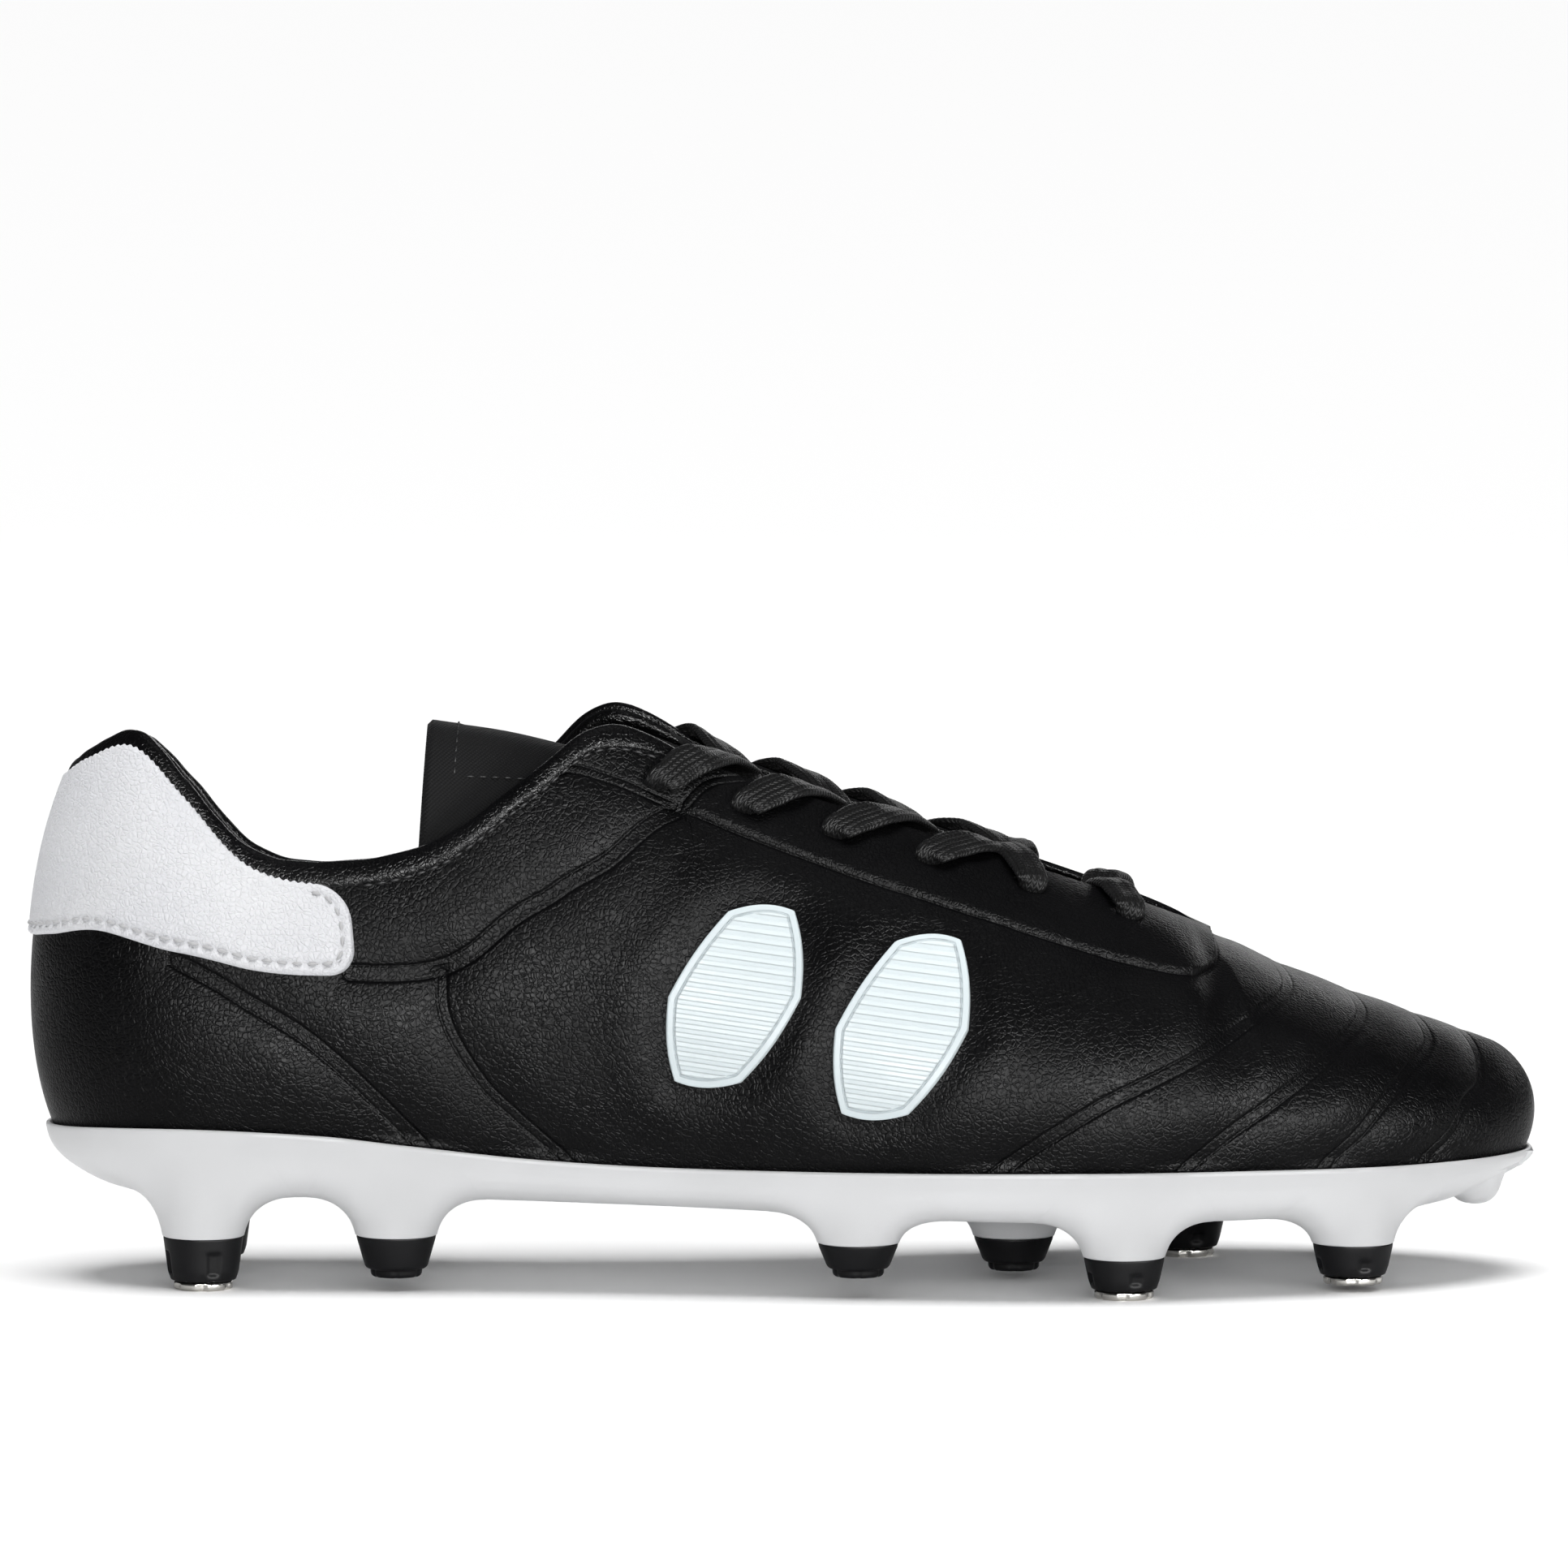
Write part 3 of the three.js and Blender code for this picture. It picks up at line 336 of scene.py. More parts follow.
def inset_plan(side, us, insets):
    """Feather-edge points, and the plan points at these insets from them, which stop at the boot's middle."""
    foot, n = feather_at(side, us)[:, :2], outward_at(side, us)
    xy = foot[:, None] - n[:, None] * insets[:, None]
    before_toe = us < TOE
    xy[before_toe, :, 1] = side * np.maximum(side * xy[before_toe, :, 1], 0)
    return foot, xy


def add_piece(name, points, faces, look, body="boot", replaces=(), values=None):
    """A piece from points in millimetres of the design frame. values are its float attributes, by name."""
    mesh = bpy.data.meshes.new(name)
    faces = faces if isinstance(faces, list) else faces.tolist()
    mesh.from_pydata(((np.asarray(points) + CENTRING) * MM).tolist(), [], faces)
    mesh.shade_smooth()
    for key, value in (values or {}).items():
        mesh.attributes.new(key, "FLOAT", "POINT").data.foreach_set("value", np.asarray(value, np.float32))
    mesh.materials.append(LOOKS[look].material)
    piece = bpy.data.objects.new(name, mesh)
    bpy.context.scene.collection.objects.link(piece)
    if body:
        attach(piece, body)
    if replaces:
        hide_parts(*replaces)
    return piece


def vertex_normals(points, faces):
    """Area-weighted normals of a mesh of quads and triangles."""
    tris = np.array([(f[0], f[k], f[k + 1]) for f in faces for k in range(1, len(f) - 1)])
    a, b, c = (points[tris[:, k]] for k in range(3))
    face = np.cross(b - a, c - a)
    total = [np.bincount(tris.ravel(), np.repeat(face[:, k], 3), minlength=len(points)) for k in range(3)]
    total = np.stack(total, -1)
    return total / np.maximum(np.linalg.norm(total, axis=1, keepdims=True), 1e-12)


STITCH_RING, STITCH_STATIONS = 6, 5  # points round a stitch and along it
STITCH_SINK = 0.3  # the share of a stitch's radius that is sunk in


def add_stitches(name, path, normals, look, stitch, body="boot"):
    """A row of stitches along a path: short rounded threads that dip at both ends."""
    pitch, length, radius = stitch
    at = length_along(path)
    steps = np.linspace(-0.5, 0.5, STITCH_STATIONS)
    arch = 1 - (2 * steps) ** 2
    thick = radius * np.sqrt(np.clip(1.06 - (2 * steps) ** 2, 0.05, 1))
    rise = (arch - 1) * radius * 0.8 + radius * (0.5 - STITCH_SINK)
    points, faces = [], []
    for middle in np.arange(pitch / 2, at[-1], pitch):
        where = np.clip(middle + steps * length, 0, at[-1])
        centre, up = (np.stack([np.interp(where, at, v[:, k]) for k in range(3)], -1) for v in (path, normals))
        up = unit(up)
        tangent = centre[-1] - centre[0]
        tangent /= max(np.linalg.norm(tangent), 1e-9)
        across = np.cross(tangent, up)
        centre = centre + up * rise[:, None]
        index = len(points) * STITCH_STATIONS + np.arange(STITCH_RING * STITCH_STATIONS)
        index = index.reshape(STITCH_RING, STITCH_STATIONS)
        for angle in np.arange(STITCH_RING) * 2 * math.pi / STITCH_RING:
            points.append(centre + (across * math.cos(angle) + up * math.sin(angle)) * thick[:, None])
        for a, b in zip(index, np.roll(index, -1, axis=0)):
            faces += np.stack([a[:-1], b[:-1], b[1:], a[1:]], -1).tolist()
        faces += [index[::-1, 0].tolist(), index[:, -1].tolist()]
    return add_piece(name, np.concatenate(points), faces, look, body)


# ---- materials ----------------------------------------------------------------------------------------------

# The lace's braid: its columns' width, its threads' distance and slant, and how proud they stand.
BRAID = {"column": 1.15, "pitch": 1.05, "slant": 1.3, "height": 0.2}


class Look:
    """A Principled material with short calls for its nodes. Scales are in cells per metre."""

    def __init__(self, name, color, roughness=0.5, metallic=0.0):
        self.material = bpy.data.materials.new(name)
        self.material.use_nodes = True
        self.tree = self.material.node_tree
        self.shader = self.tree.nodes["Principled BSDF"]
        self.set("Base Color", (*color, 1))
        self.set("Roughness", roughness)
        self.set("Metallic", metallic)
        self.place = self.tree.nodes.new("ShaderNodeTexCoord").outputs["Object"]

    def set(self, socket, value):
        self.shader.inputs[socket].default_value = value

    def wire(self, socket, output):
        self.tree.links.new(output, self.shader.inputs[socket])

    def node(self, kind, inputs=None, **settings):
        made = self.tree.nodes.new(kind)
        for key, value in settings.items():
            setattr(made, key, value)
        for key, value in (inputs or {}).items():
            if isinstance(value, bpy.types.NodeSocket):
                self.tree.links.new(value, made.inputs[key])
            else:
                made.inputs[key].default_value = value
        return made

    def stretched(self, scale):
        return self.node("ShaderNodeMapping", {"Vector": self.place, "Scale": scale}).outputs[0]

    def noise(self, scale, detail=2.0, vector=None):
        inputs = {"Vector": vector or self.place, "Scale": scale, "Detail": detail}
        return self.node("ShaderNodeTexNoise", inputs).outputs["Fac"]

    def cells(self, scale, vector):
        inputs = {"Vector": vector, "Scale": scale}
        return self.node("ShaderNodeTexVoronoi", inputs, feature="DISTANCE_TO_EDGE").outputs["Distance"]

    def math(self, operation, a, b=0.0, c=0.0):
        return self.node("ShaderNodeMath", {0: a, 1: b, 2: c}, operation=operation).outputs[0]

    def ramp(self, value, low, high, to_low=0.0, to_high=1.0):
        inputs = {"Value": value, "From Min": low, "From Max": high, "To Min": to_low, "To Max": to_high}
        return self.node("ShaderNodeMapRange", inputs, interpolation_type="SMOOTHSTEP").outputs[0]

    def attribute(self, name):
        return self.node("ShaderNodeAttribute", attribute_name=name).outputs["Fac"]

    def mix(self, factor, dark, light):
        mixer = self.node("ShaderNodeMix", data_type="RGBA")
        colors = [socket for socket in mixer.inputs if socket.type == "RGBA"]
        self.tree.links.new(factor, mixer.inputs[0])
        for socket, color in zip(colors, (dark, light)):
            socket.default_value = (*color, 1)
        return next(socket for socket in mixer.outputs if socket.type == "RGBA")

    def bump(self, height, distance, strength=1.0, under=None):
        inputs = {"Height": height, "Distance": distance, "Strength": strength}
        if under:
            inputs["Normal"] = under
        return self.node("ShaderNodeBump", inputs).outputs[0]


GRAIN_DRIFT = {"scale": 260.0, "reach": 0.0011}  # how the grain's cells are pulled out of line
LINE_HALF = 0.3  # half the width of a pressed line's sharp edge, in millimetres
LINE_DEPTH = 0.00022


def leather(name, color, worn, roughness, grain_depth, grain_scale, gloss, lines=False):
    """Grained synthetic leather: pebbles cut by fine creases, with a soft uneven shine."""
    look = Look(name, color, roughness)
    look.set("Specular IOR Level", gloss)
    inputs = {"Vector": look.place, "Scale": GRAIN_DRIFT["scale"], "Detail": 1.0}
    drift = look.node("ShaderNodeTexNoise", inputs).outputs["Color"]
    drift = look.node("ShaderNodeVectorMath", {0: drift, "Scale": GRAIN_DRIFT["reach"]}, operation="SCALE")
    inputs = {0: look.place, 1: drift.outputs[0]}
    vector = look.node("ShaderNodeVectorMath", inputs, operation="ADD").outputs[0]
    pebbles = look.ramp(look.cells(grain_scale, vector), 0.0, 0.22)
    creases = look.ramp(look.cells(grain_scale * 0.45, vector), 0.0, 0.1)
    fine = look.noise(grain_scale * 2.6, 3.0)
    height = look.math("MULTIPLY_ADD", creases, 0.6, look.math("MULTIPLY_ADD", fine, 0.35, pebbles))
    normal = look.bump(height, grain_depth)
    if lines:
        off = look.math("DIVIDE", look.attribute("crease"), LINE_HALF)
        groove = look.math("EXPONENT", look.math("MULTIPLY", look.math("MULTIPLY", off, off), -1.0))
        groove = look.math("MULTIPLY", groove, look.attribute("press"))
        normal = look.bump(look.math("SUBTRACT", 1.0, groove), LINE_DEPTH, under=normal)
    look.wire("Normal", normal)
    look.wire("Base Color", look.mix(look.ramp(look.noise(45.0, 4.0), 0.3, 0.75), color, worn))
    look.wire("Roughness", look.ramp(look.noise(70.0, 3.0), 0.3, 0.7, roughness - 0.05, roughness + 0.06))
    return look


def plastic(name, color, roughness, bump_depth=0.00002, scale=900.0, gloss=0.3):
    look = Look(name, color, roughness)
    look.set("Specular IOR Level", gloss)
    look.wire("Normal", look.bump(look.noise(scale, 3.0), bump_depth, 0.6))
    shade = tuple(c * 0.94 for c in color)
    look.wire("Base Color", look.mix(look.ramp(look.noise(30.0, 3.0), 0.3, 0.7), shade, color))
    look.wire("Roughness", look.ramp(look.noise(120.0, 4.0), 0.3, 0.7, roughness - 0.04, roughness + 0.05))
    return look


def weave(name, color, light, pitch, depth, roughness=0.8):
    """A plain weave: threads of two directions that pass over and under each other."""
    look = Look(name, color, roughness)
    turn = 2 * math.pi / pitch
    parts = look.node("ShaderNodeSeparateXYZ", {0: look.place})
    along = look.math("ADD", parts.outputs[0], look.math("MULTIPLY", parts.outputs[1], 0.4))
    across = look.math("ADD", parts.outputs[2], look.math("MULTIPLY", parts.outputs[1], 0.7))
    waves = [look.math("SINE", look.math("MULTIPLY", axis, turn)) for axis in (along, across)]
    height = look.math("MULTIPLY", *waves)
    look.wire("Normal", look.bump(look.math("MULTIPLY_ADD", look.noise(4000.0), 0.5, height), depth, 0.8))
    # Painted light and shade: the base colour is lighter on the threads' raised crowns and darker in the
    # hollows between them.
    look.wire("Base Color", look.mix(look.ramp(height, -0.6, 0.9), color, light))
    look.set("Sheen Weight", 0.06)
    look.set("Sheen Roughness", 0.4)
    look.set("Specular IOR Level", 0.1)
    return look


def lace_weave():
    """The lace's fine herringbone threads, from the band's own UV map in millimetres."""
    look = Look("lace_braid", (0.008, 0.008, 0.009), 0.5)
    uv = look.node("ShaderNodeUVMap", uv_map="band").outputs[0]
    along_it, across_it = look.node("ShaderNodeSeparateXYZ", {0: uv}).outputs[:2]
    rib = look.math("PINGPONG", across_it, BRAID["column"] / 2)
    slant = look.math("MULTIPLY_ADD", rib, BRAID["slant"], along_it)
    thread = look.math("ABSOLUTE", look.math("SINE", look.math("MULTIPLY", slant, math.pi / BRAID["pitch"])))
    valley = look.ramp(rib, 0.0, 0.3)
    fibre = look.noise(6000.0)
    height = look.math("MULTIPLY_ADD", fibre, 0.25, look.math("MULTIPLY", thread, valley))
    look.wire("Normal", look.bump(height, 0.00015))
    # Painted light and shade: the base colour is darker in the valleys between threads and columns, lighter on
    # the raised threads.
    shade = look.ramp(height, 0.1, 1.1)
    look.wire("Base Color", look.mix(shade, (0.0004, 0.0004, 0.0004), (0.0045, 0.0045, 0.005)))
    look.set("Specular IOR Level", 0.13)
    look.set("Sheen Weight", 0.03)
    return look


RIB_PITCH = 1.75  # of the side plates' ribs
EMBLEM_BORDER = 1.75  # the width of the smooth border round them


def emblem_plastic():
    """Moulded plate with a smooth border and fine ribs, from its own distances in millimetres."""
    look = plastic("emblem_tpu", (0.79, 0.87, 0.9), 0.38, gloss=0.15)
    border = look.attribute("border")
    ribs = look.math("SINE", look.math("MULTIPLY", look.attribute("rib"), 2 * math.pi / RIB_PITCH))
    field = look.ramp(border, EMBLEM_BORDER - 0.25, EMBLEM_BORDER + 0.15)
    ribs = look.math("MULTIPLY", look.ramp(ribs, -0.6, 0.6), field)
    off = look.math("ABSOLUTE", look.math("SUBTRACT", border, EMBLEM_BORDER))
    height = look.math("ADD", ribs, look.ramp(off, 0.0, 0.35, -1.0, 0.0))
    look.wire("Normal", look.bump(height, 0.0003))
    # Painted shade: the base colour is darker in the rib valleys and the groove inside the border, lighter on
    # the rib crests.
    look.wire("Base Color", look.mix(look.ramp(height, -0.4, 0.3), (0.6, 0.68, 0.71), (0.78, 0.86, 0.88)))
    return look


def steel(name, roughness):
    look = Look(name, (0.42, 0.41, 0.39), roughness, 1.0)
    turned = look.noise(260.0, 3.0, look.stretched((1, 1, 9)))
    look.wire("Roughness", look.ramp(turned, 0.3, 0.7, roughness - 0.06, roughness + 0.1))
    look.wire("Normal", look.bump(turned, 0.00002, 0.5))
    return look


BLACK = (0.002, 0.002, 0.0023)
LOOKS = {
    "leather": leather("black_leather", BLACK, (0.0036, 0.0036, 0.004), 0.4, 0.00006, 1000.0, 0.055, True),
    "rim": leather("rim_leather", BLACK, (0.0036, 0.0036, 0.0042), 0.3, 0.00005, 1100.0, 0.1),
    "white": leather("white_leather", (0.73, 0.735, 0.765), (0.765, 0.77, 0.79), 0.5, 0.00009, 1000.0, 0.2),
    "plate": plastic("plate_tpu", (0.72, 0.725, 0.735), 0.42, gloss=0.15),
    "emblem": emblem_plastic(),
    "lace": lace_weave(),
    "tongue": weave("tongue_cloth", (0.0022, 0.0022, 0.0025), (0.005, 0.005, 0.0058), 0.0009, 0.00009),
    "lining": weave("lining_cloth", (0.005, 0.005, 0.0055), (0.012, 0.012, 0.013), 0.0012, 0.00014),
    "binding": weave("tape_cloth", (0.0035, 0.0035, 0.004), (0.008, 0.008, 0.009), 0.0007, 0.00008),
    "footbed": weave("footbed_cloth", (0.012, 0.012, 0.013), (0.026, 0.026, 0.029), 0.0011, 0.00012),
    "stud": plastic("stud_nylon", (0.005, 0.005, 0.006), 0.48, 0.00003, gloss=0.1),
    "steel": steel("tip_steel", 0.18),
    "socket": steel("socket_steel", 0.35),
    # White thread greyed below the white leather: painted shade, so the stitches read as shaded dashes along
    # the seam.
    "white_thread_painted_shade": plastic("white_thread_painted_shade", (0.5, 0.5, 0.51), 0.6, 0.00004, 3000.0),
    "black_thread": plastic("black_thread", (0.013, 0.013, 0.014), 0.55, 0.00004, 3000.0),
    "board": plastic("board_fibre", (0.33, 0.27, 0.2), 0.9, 0.0001, 1500.0),
    "stiffener": plastic("stiffener_resin", (0.5, 0.48, 0.42), 0.8, 0.00005, 1200.0),
}


def dress_cad_nodes():
    """Every CAD node that stays visible gets a procedural material in place of its plain colour."""
    looks = {
        "insole_board": "board",
        "heel_counter": "stiffener",
        "toe_puff": "stiffener",
        "aglet_front": "stud",
        "aglet_rear": "stud",
    }
    for name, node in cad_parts.items():
        key = "socket" if name.startswith("stud_socket") else looks.get(name)
        if key:
            for slot in node.material_slots:
                slot.material = LOOKS[key].material


# ---- camera and stage ---------------------------------------------------------------------------------------

VIEW_ELEVATION = math.radians(5.1)
VIEW_DISTANCE = 2.8
VIEW_WIDTH = 0.2995  # what the frame spans at the boot's middle
VIEW_AIM = Vector((0.0003, 0, 0.0946))
SENSOR_WIDTH = 36
WORLD_LIGHT = 0.06
FLOOR = {"size": 30, "color": (0.97, 0.97, 0.97), "roughness": 0.95}
SUN = {"power": 3.2, "spread": math.radians(40), "tilt": (math.radians(3), 0, 0)}
# Softboxes, as their name, place, aim, size, power, and whether they make highlights or only fill.
LIGHTS = [
    ("front", (0.1, -1.77, 0.42), (0, 0, 0.05), (1.3, 0.3), 98, True),
    ("toe", (1.3, -1.2, 0.42), (0, 0, 0.05), (0.6, 0.3), 68, True),
    ("back", (0.3, 1.8, 0.55), (0, 0, 0.05), (1.6, 0.4), 7, True),
    ("top", (0.2, 0.1, 1.6), (0, 0, 0.05), (0.9, 0.9), 3, True),
    ("fill", (0, -1.8, 0.6), (0, 0, 0.05), (2.2, 0.8), 9.5, False),
]


def add_camera():
    data = bpy.data.cameras.new("camera")
    data.sensor_width = SENSOR_WIDTH
    data.lens = SENSOR_WIDTH * VIEW_DISTANCE / VIEW_WIDTH
    data.clip_start = 0.05
    data.clip_end = 50
    camera = bpy.data.objects.new("camera", data)
    bpy.context.scene.collection.objects.link(camera)
    back = Vector((0, -math.cos(VIEW_ELEVATION), math.sin(VIEW_ELEVATION)))
    camera.location = VIEW_AIM + back * VIEW_DISTANCE
    camera.rotation_euler = (-back).to_track_quat("-Z", "Y").to_euler()
    bpy.context.scene.camera = camera


def add_light(name, kind, power, **settings):
    data = bpy.data.lights.new(name, kind)
    data.energy = power
    for key, value in settings.items():
        setattr(data, key, value)
    light = bpy.data.objects.new(name, data)
    bpy.context.scene.collection.objects.link(light)
    return light


def add_softbox(name, place, aim, size, power, glossy):
    light = add_light(name, "AREA", power, shape="RECTANGLE", size=size[0], size_y=size[1])
    light.location = place
    light.rotation_euler = (Vector(aim) - Vector(place)).to_track_quat("-Z", "Y").to_euler()
    light.visible_camera = False
    light.visible_diffuse = not glossy
    light.visible_glossy = glossy


def add_sun():
    """A very wide soft light from above, which lights the whole floor evenly."""
    light = add_light("overhead", "SUN", SUN["power"], angle=SUN["spread"])
    light.rotation_euler = SUN["tilt"]
    light.visible_glossy = False


def add_world():
    """White to the camera, and a dimmer white light all round the boot."""
    world = bpy.data.worlds.new("studio")
    world.use_nodes = True
    nodes, links = world.node_tree.nodes, world.node_tree.links
    light = nodes["Background"]
    light.inputs["Color"].default_value = (1, 1, 1, 1)
    light.inputs["Strength"].default_value = WORLD_LIGHT
    backdrop = nodes.new("ShaderNodeBackground")
    backdrop.inputs["Strength"].default_value = 1.0
    seen = nodes.new("ShaderNodeLightPath").outputs["Is Camera Ray"]
    mix = nodes.new("ShaderNodeMixShader")
    links.new(seen, mix.inputs[0])
    links.new(light.outputs[0], mix.inputs[1])
    links.new(backdrop.outputs[0], mix.inputs[2])
    links.new(mix.outputs[0], nodes["World Output"].inputs["Surface"])
    bpy.context.scene.world = world


def add_stage():
    add_world()
    bpy.context.scene.view_settings.view_transform = "Standard"
    bpy.ops.mesh.primitive_plane_add(size=FLOOR["size"])
    floor = bpy.context.object
    floor.name = "floor"
    floor.data.materials.append(Look("floor", FLOOR["color"], FLOOR["roughness"]).material)
    add_sun()
    for softbox in LIGHTS:
        add_softbox(*softbox)


# ---- leather upper ------------------------------------------------------------------------------------------

CELL = 0.62  # how far apart the leather's mesh points are along the boot
ROWS_UP = 132  # and how many there are up the wall

# The pressed lines of the upper, drawn on the lateral side as (x, z) and repeated on the medial one.
EYESTAY_REAR = [(-44, 101), (-35.5, 98.5), (-28, 95.8), (-21, 93)]
EYESTAY_FRONT = [
    (-18.5, 92), (-6, 86.6), (13.5, 79.5), (32.5, 73.3), (54.5, 66.5), (65, 63.4), (76, 61.2), (81.4, 62),
    (84.6, 63.9),
]
EYESTAY_LINK = [(-18.5, 93), (-14, 96.4), (-9, 98.4)]
DIAGONAL = [(-21, 91.6), (-32.5, 83.5), (-42, 77.8), (-52, 71.6), (-60, 65), (-68, 62), (-82, 61.6)]
REAR_WAIST = [(-65, 61.5), (-64.6, 55), (-62.4, 49), (-57, 40.5), (-50.5, 34), (-42, 26.4)]
HEEL_LINE = [(-115.5, 63.5), (-105, 58), (-94, 51.6), (-86, 45.6), (-78, 38), (-70, 29.6)]
TOE_BANDS = [
    [(95.6, 59.3), (95.8, 57.6), (92.5, 55), (85, 50.6), (77, 46.2), (64, 40.2), (52, 33.2), (42, 26.3)],
    [(109.6, 53.8), (110, 52), (106, 48), (99, 42.4), (91, 36.8), (83.5, 31.6), (77, 26.3)],
    [(122.4, 49), (123, 46.5), (118.5, 41.6), (114, 37), (109, 31), (103, 25.6)],
    [(134.2, 43.6), (133.4, 40), (130, 35.4), (127, 30), (121.6, 24.8)],
]
# Each line as its points, half the width of the strip it presses, the strip's depth, and the depth and reach
# of the soft dip beside it.
PRESSED = [
    (EYESTAY_REAR, 0.8, 0.2, 0.35, 3.5),
    (EYESTAY_LINK, 0.8, 0.12, 0.2, 3.0),
    (DIAGONAL, 1.5, 0.3, 0.75, 4.5),
    (REAR_WAIST, 0.9, 0.3, 0.8, 5.0),
    (HEEL_LINE, 1.3, 0.3, 0.8, 5.0),
    (TOE_BANDS[0], 1.2, 0.25, 0.85, 5.0),
    (TOE_BANDS[1], 1.1, 0.25, 0.85, 4.5),
    (TOE_BANDS[2], 1.0, 0.25, 0.8, 4.2),
    (TOE_BANDS[3], 0.9, 0.22, 0.7, 4.0),
]
FAR = 14.0  # lines further off than this don't count
# How far the lace panel stands above the side, and the dip under its lower edge.
EYESTAY = {"rise": 0.55, "dip": 0.5, "dip_reach": 3.2}
EYELET_DIP = {"depth": 0.6, "reach": 2.2}
EYELET_U = [8.45, 9.12, 9.78, 10.45, 11.2, 12.05]
EYELET_V = 0.875
EMBLEM_CENTRES = [(-9.5, 57.5), (22, 52)]
EMBLEM_HALF = (13, 19)
EMBLEM_LEAN = 0.32
SEAT = {"depth": 0.75, "reach": 7.5, "swell": 0.3}  # the dish that each emblem sits in


def line_on(side, drawn):
    """A drawn line as points of one side's outer face. One that ends low runs on down inside the sole's rim."""
    u, v = drawn_uv(drawn)
    line = upper_point(side, u, v)
    if v[-1] < 0.08:
        line = np.vstack([line, line[-1] + (line[-1] - line[-4]) * 8])
    return line


def drawn_uv(drawn):
    """A drawn line's (u, v). One that starts or ends near the ridge runs up to it."""
    u, v = find_on_upper(LATERAL, *np.array(drawn, float).T)
    for end in (0, -1):
        if u[end] > RIDGE_START and v[end] > 0.7:
            v[end] = 1.0
    curve = smooth_curve(np.stack([u, v], -1), 14)
    return np.clip(curve[:, 0], 0, TOE), np.clip(curve[:, 1], 0, 1)


def hexagon_radius(angle):
    """The radius of a unit hexagon with softened corners: half way between a hexagon and a circle."""
    sector, circle = math.pi / 3, 0.95
    off = np.mod(angle, sector) - sector / 2
    return 0.5 * math.cos(sector / 2) / np.cos(off) + 0.5 * circle


def emblem_drawn(centre, angle, share):
    r = hexagon_radius(angle) * share
    dx, dz = EMBLEM_HALF[0] * r * np.cos(angle), EMBLEM_HALF[1] * r * np.sin(angle)
    return centre[0] + dx + EMBLEM_LEAN * dz, centre[1] + dz


def even_stations(low, high, spacing):
    """Stations from low to high that lie about spacing apart half way up the walls."""
    u = np.linspace(low, high, 1500)
    middle = np.full_like(u, 0.5)
    step = [np.linalg.norm(np.diff(upper_point(s, u, middle), axis=0), axis=1) for s in (LATERAL, MEDIAL)]
    at = np.concatenate([[0], np.cumsum((step[0] + step[1]) / 2)])
    count = int(at[-1] / spacing) + 1
    return np.interp(np.linspace(0, at[-1], count), at, u)


def upper_sheet(us, vs):
    """Both sides as one welded sheet: points, faces, and each point's side, u and v."""
    grids, where = [], []
    u, v = surface_grid(us, vs)
    shared = (u >= RIDGE_START)[:, None]
    for side in (LATERAL, MEDIAL):
        own, other = (upper_point(one, u, np.ones_like(v)) for one in (side, -side))
        p = upper_point(side, u, v) + np.where(shared, (other - own) / 2 * (v[:, None] ** 8), 0)
        grids.append(p.reshape(len(us), len(vs), 3))
        where.append(np.stack([np.full_like(u, side), u, v], -1))
    points, faces, first = weld(*side_by_side(grids, flip=MEDIAL))
    return points, faces, np.concatenate(where)[first]


def toe_fade(v):
    """The toe's bands get shallower towards the ridge."""
    return 0.35 + 0.65 * smoothstep(0.95 - v, 0.0, 0.5)


def pressed_side(side, p, u, v):
    """For one side's points: height over the plain face, and the nearest sharp line's distance and weight."""
    height = np.zeros(len(p))
    sharp, weight = np.full(len(p), FAR), np.zeros(len(p))

    def crease(distance, strength):
        nearer = np.abs(distance) < np.abs(sharp)
        sharp[nearer] = distance[nearer]
        weight[nearer] = np.broadcast_to(strength, len(p))[nearer]

    for drawn, half, depth, dip, reach in PRESSED:
        d = distance_to(p, line_on(side, drawn), FAR)
        fade = toe_fade(v) if drawn in TOE_BANDS else np.ones(len(p))
        strip = 1 - smoothstep(d, half - 0.35, half + 0.55)
        height -= fade * (depth * strip + dip * bell(d, reach))
        crease(d - half, 0.4 + 0.6 * fade)
    signed, ahead = past_eyestay_edge(side, p, u, v)
    levelling = 1 - 0.55 * smoothstep(signed, 1.0, 9.0)
    height += EYESTAY["rise"] * smoothstep(signed, -0.3, 0.5) * ahead * levelling
    beside = (signed < 0.4) * (signed > -FAR)
    height -= EYESTAY["dip"] * bell(np.minimum(signed + 0.6, 0), EYESTAY["dip_reach"]) * beside * ahead
    crease(signed + 0.45, 1.3 * ahead)
    for hole in upper_point(side, np.array(EYELET_U), np.full(len(EYELET_U), EYELET_V)):
        height -= EYELET_DIP["depth"] * bell(np.linalg.norm(p - hole, axis=1), EYELET_DIP["reach"])
    for centre in EMBLEM_CENTRES:
        cu, cv = find_on_upper(side, *emblem_drawn(centre, np.linspace(0, 2 * math.pi, 97), 1.0))
        d = distance_to(p, upper_point(side, cu, cv), FAR)
        d = np.where(inside(np.stack([cu, cv], -1), u, v), 0, d)
        height -= SEAT["depth"] * bell(d, SEAT["reach"] * 0.45)
        height += SEAT["swell"] * bell(d - SEAT["reach"], 4.0) * (d < FAR)
    return height, sharp, weight


def bell(x, reach):
    return np.exp(-((x / reach) ** 2))


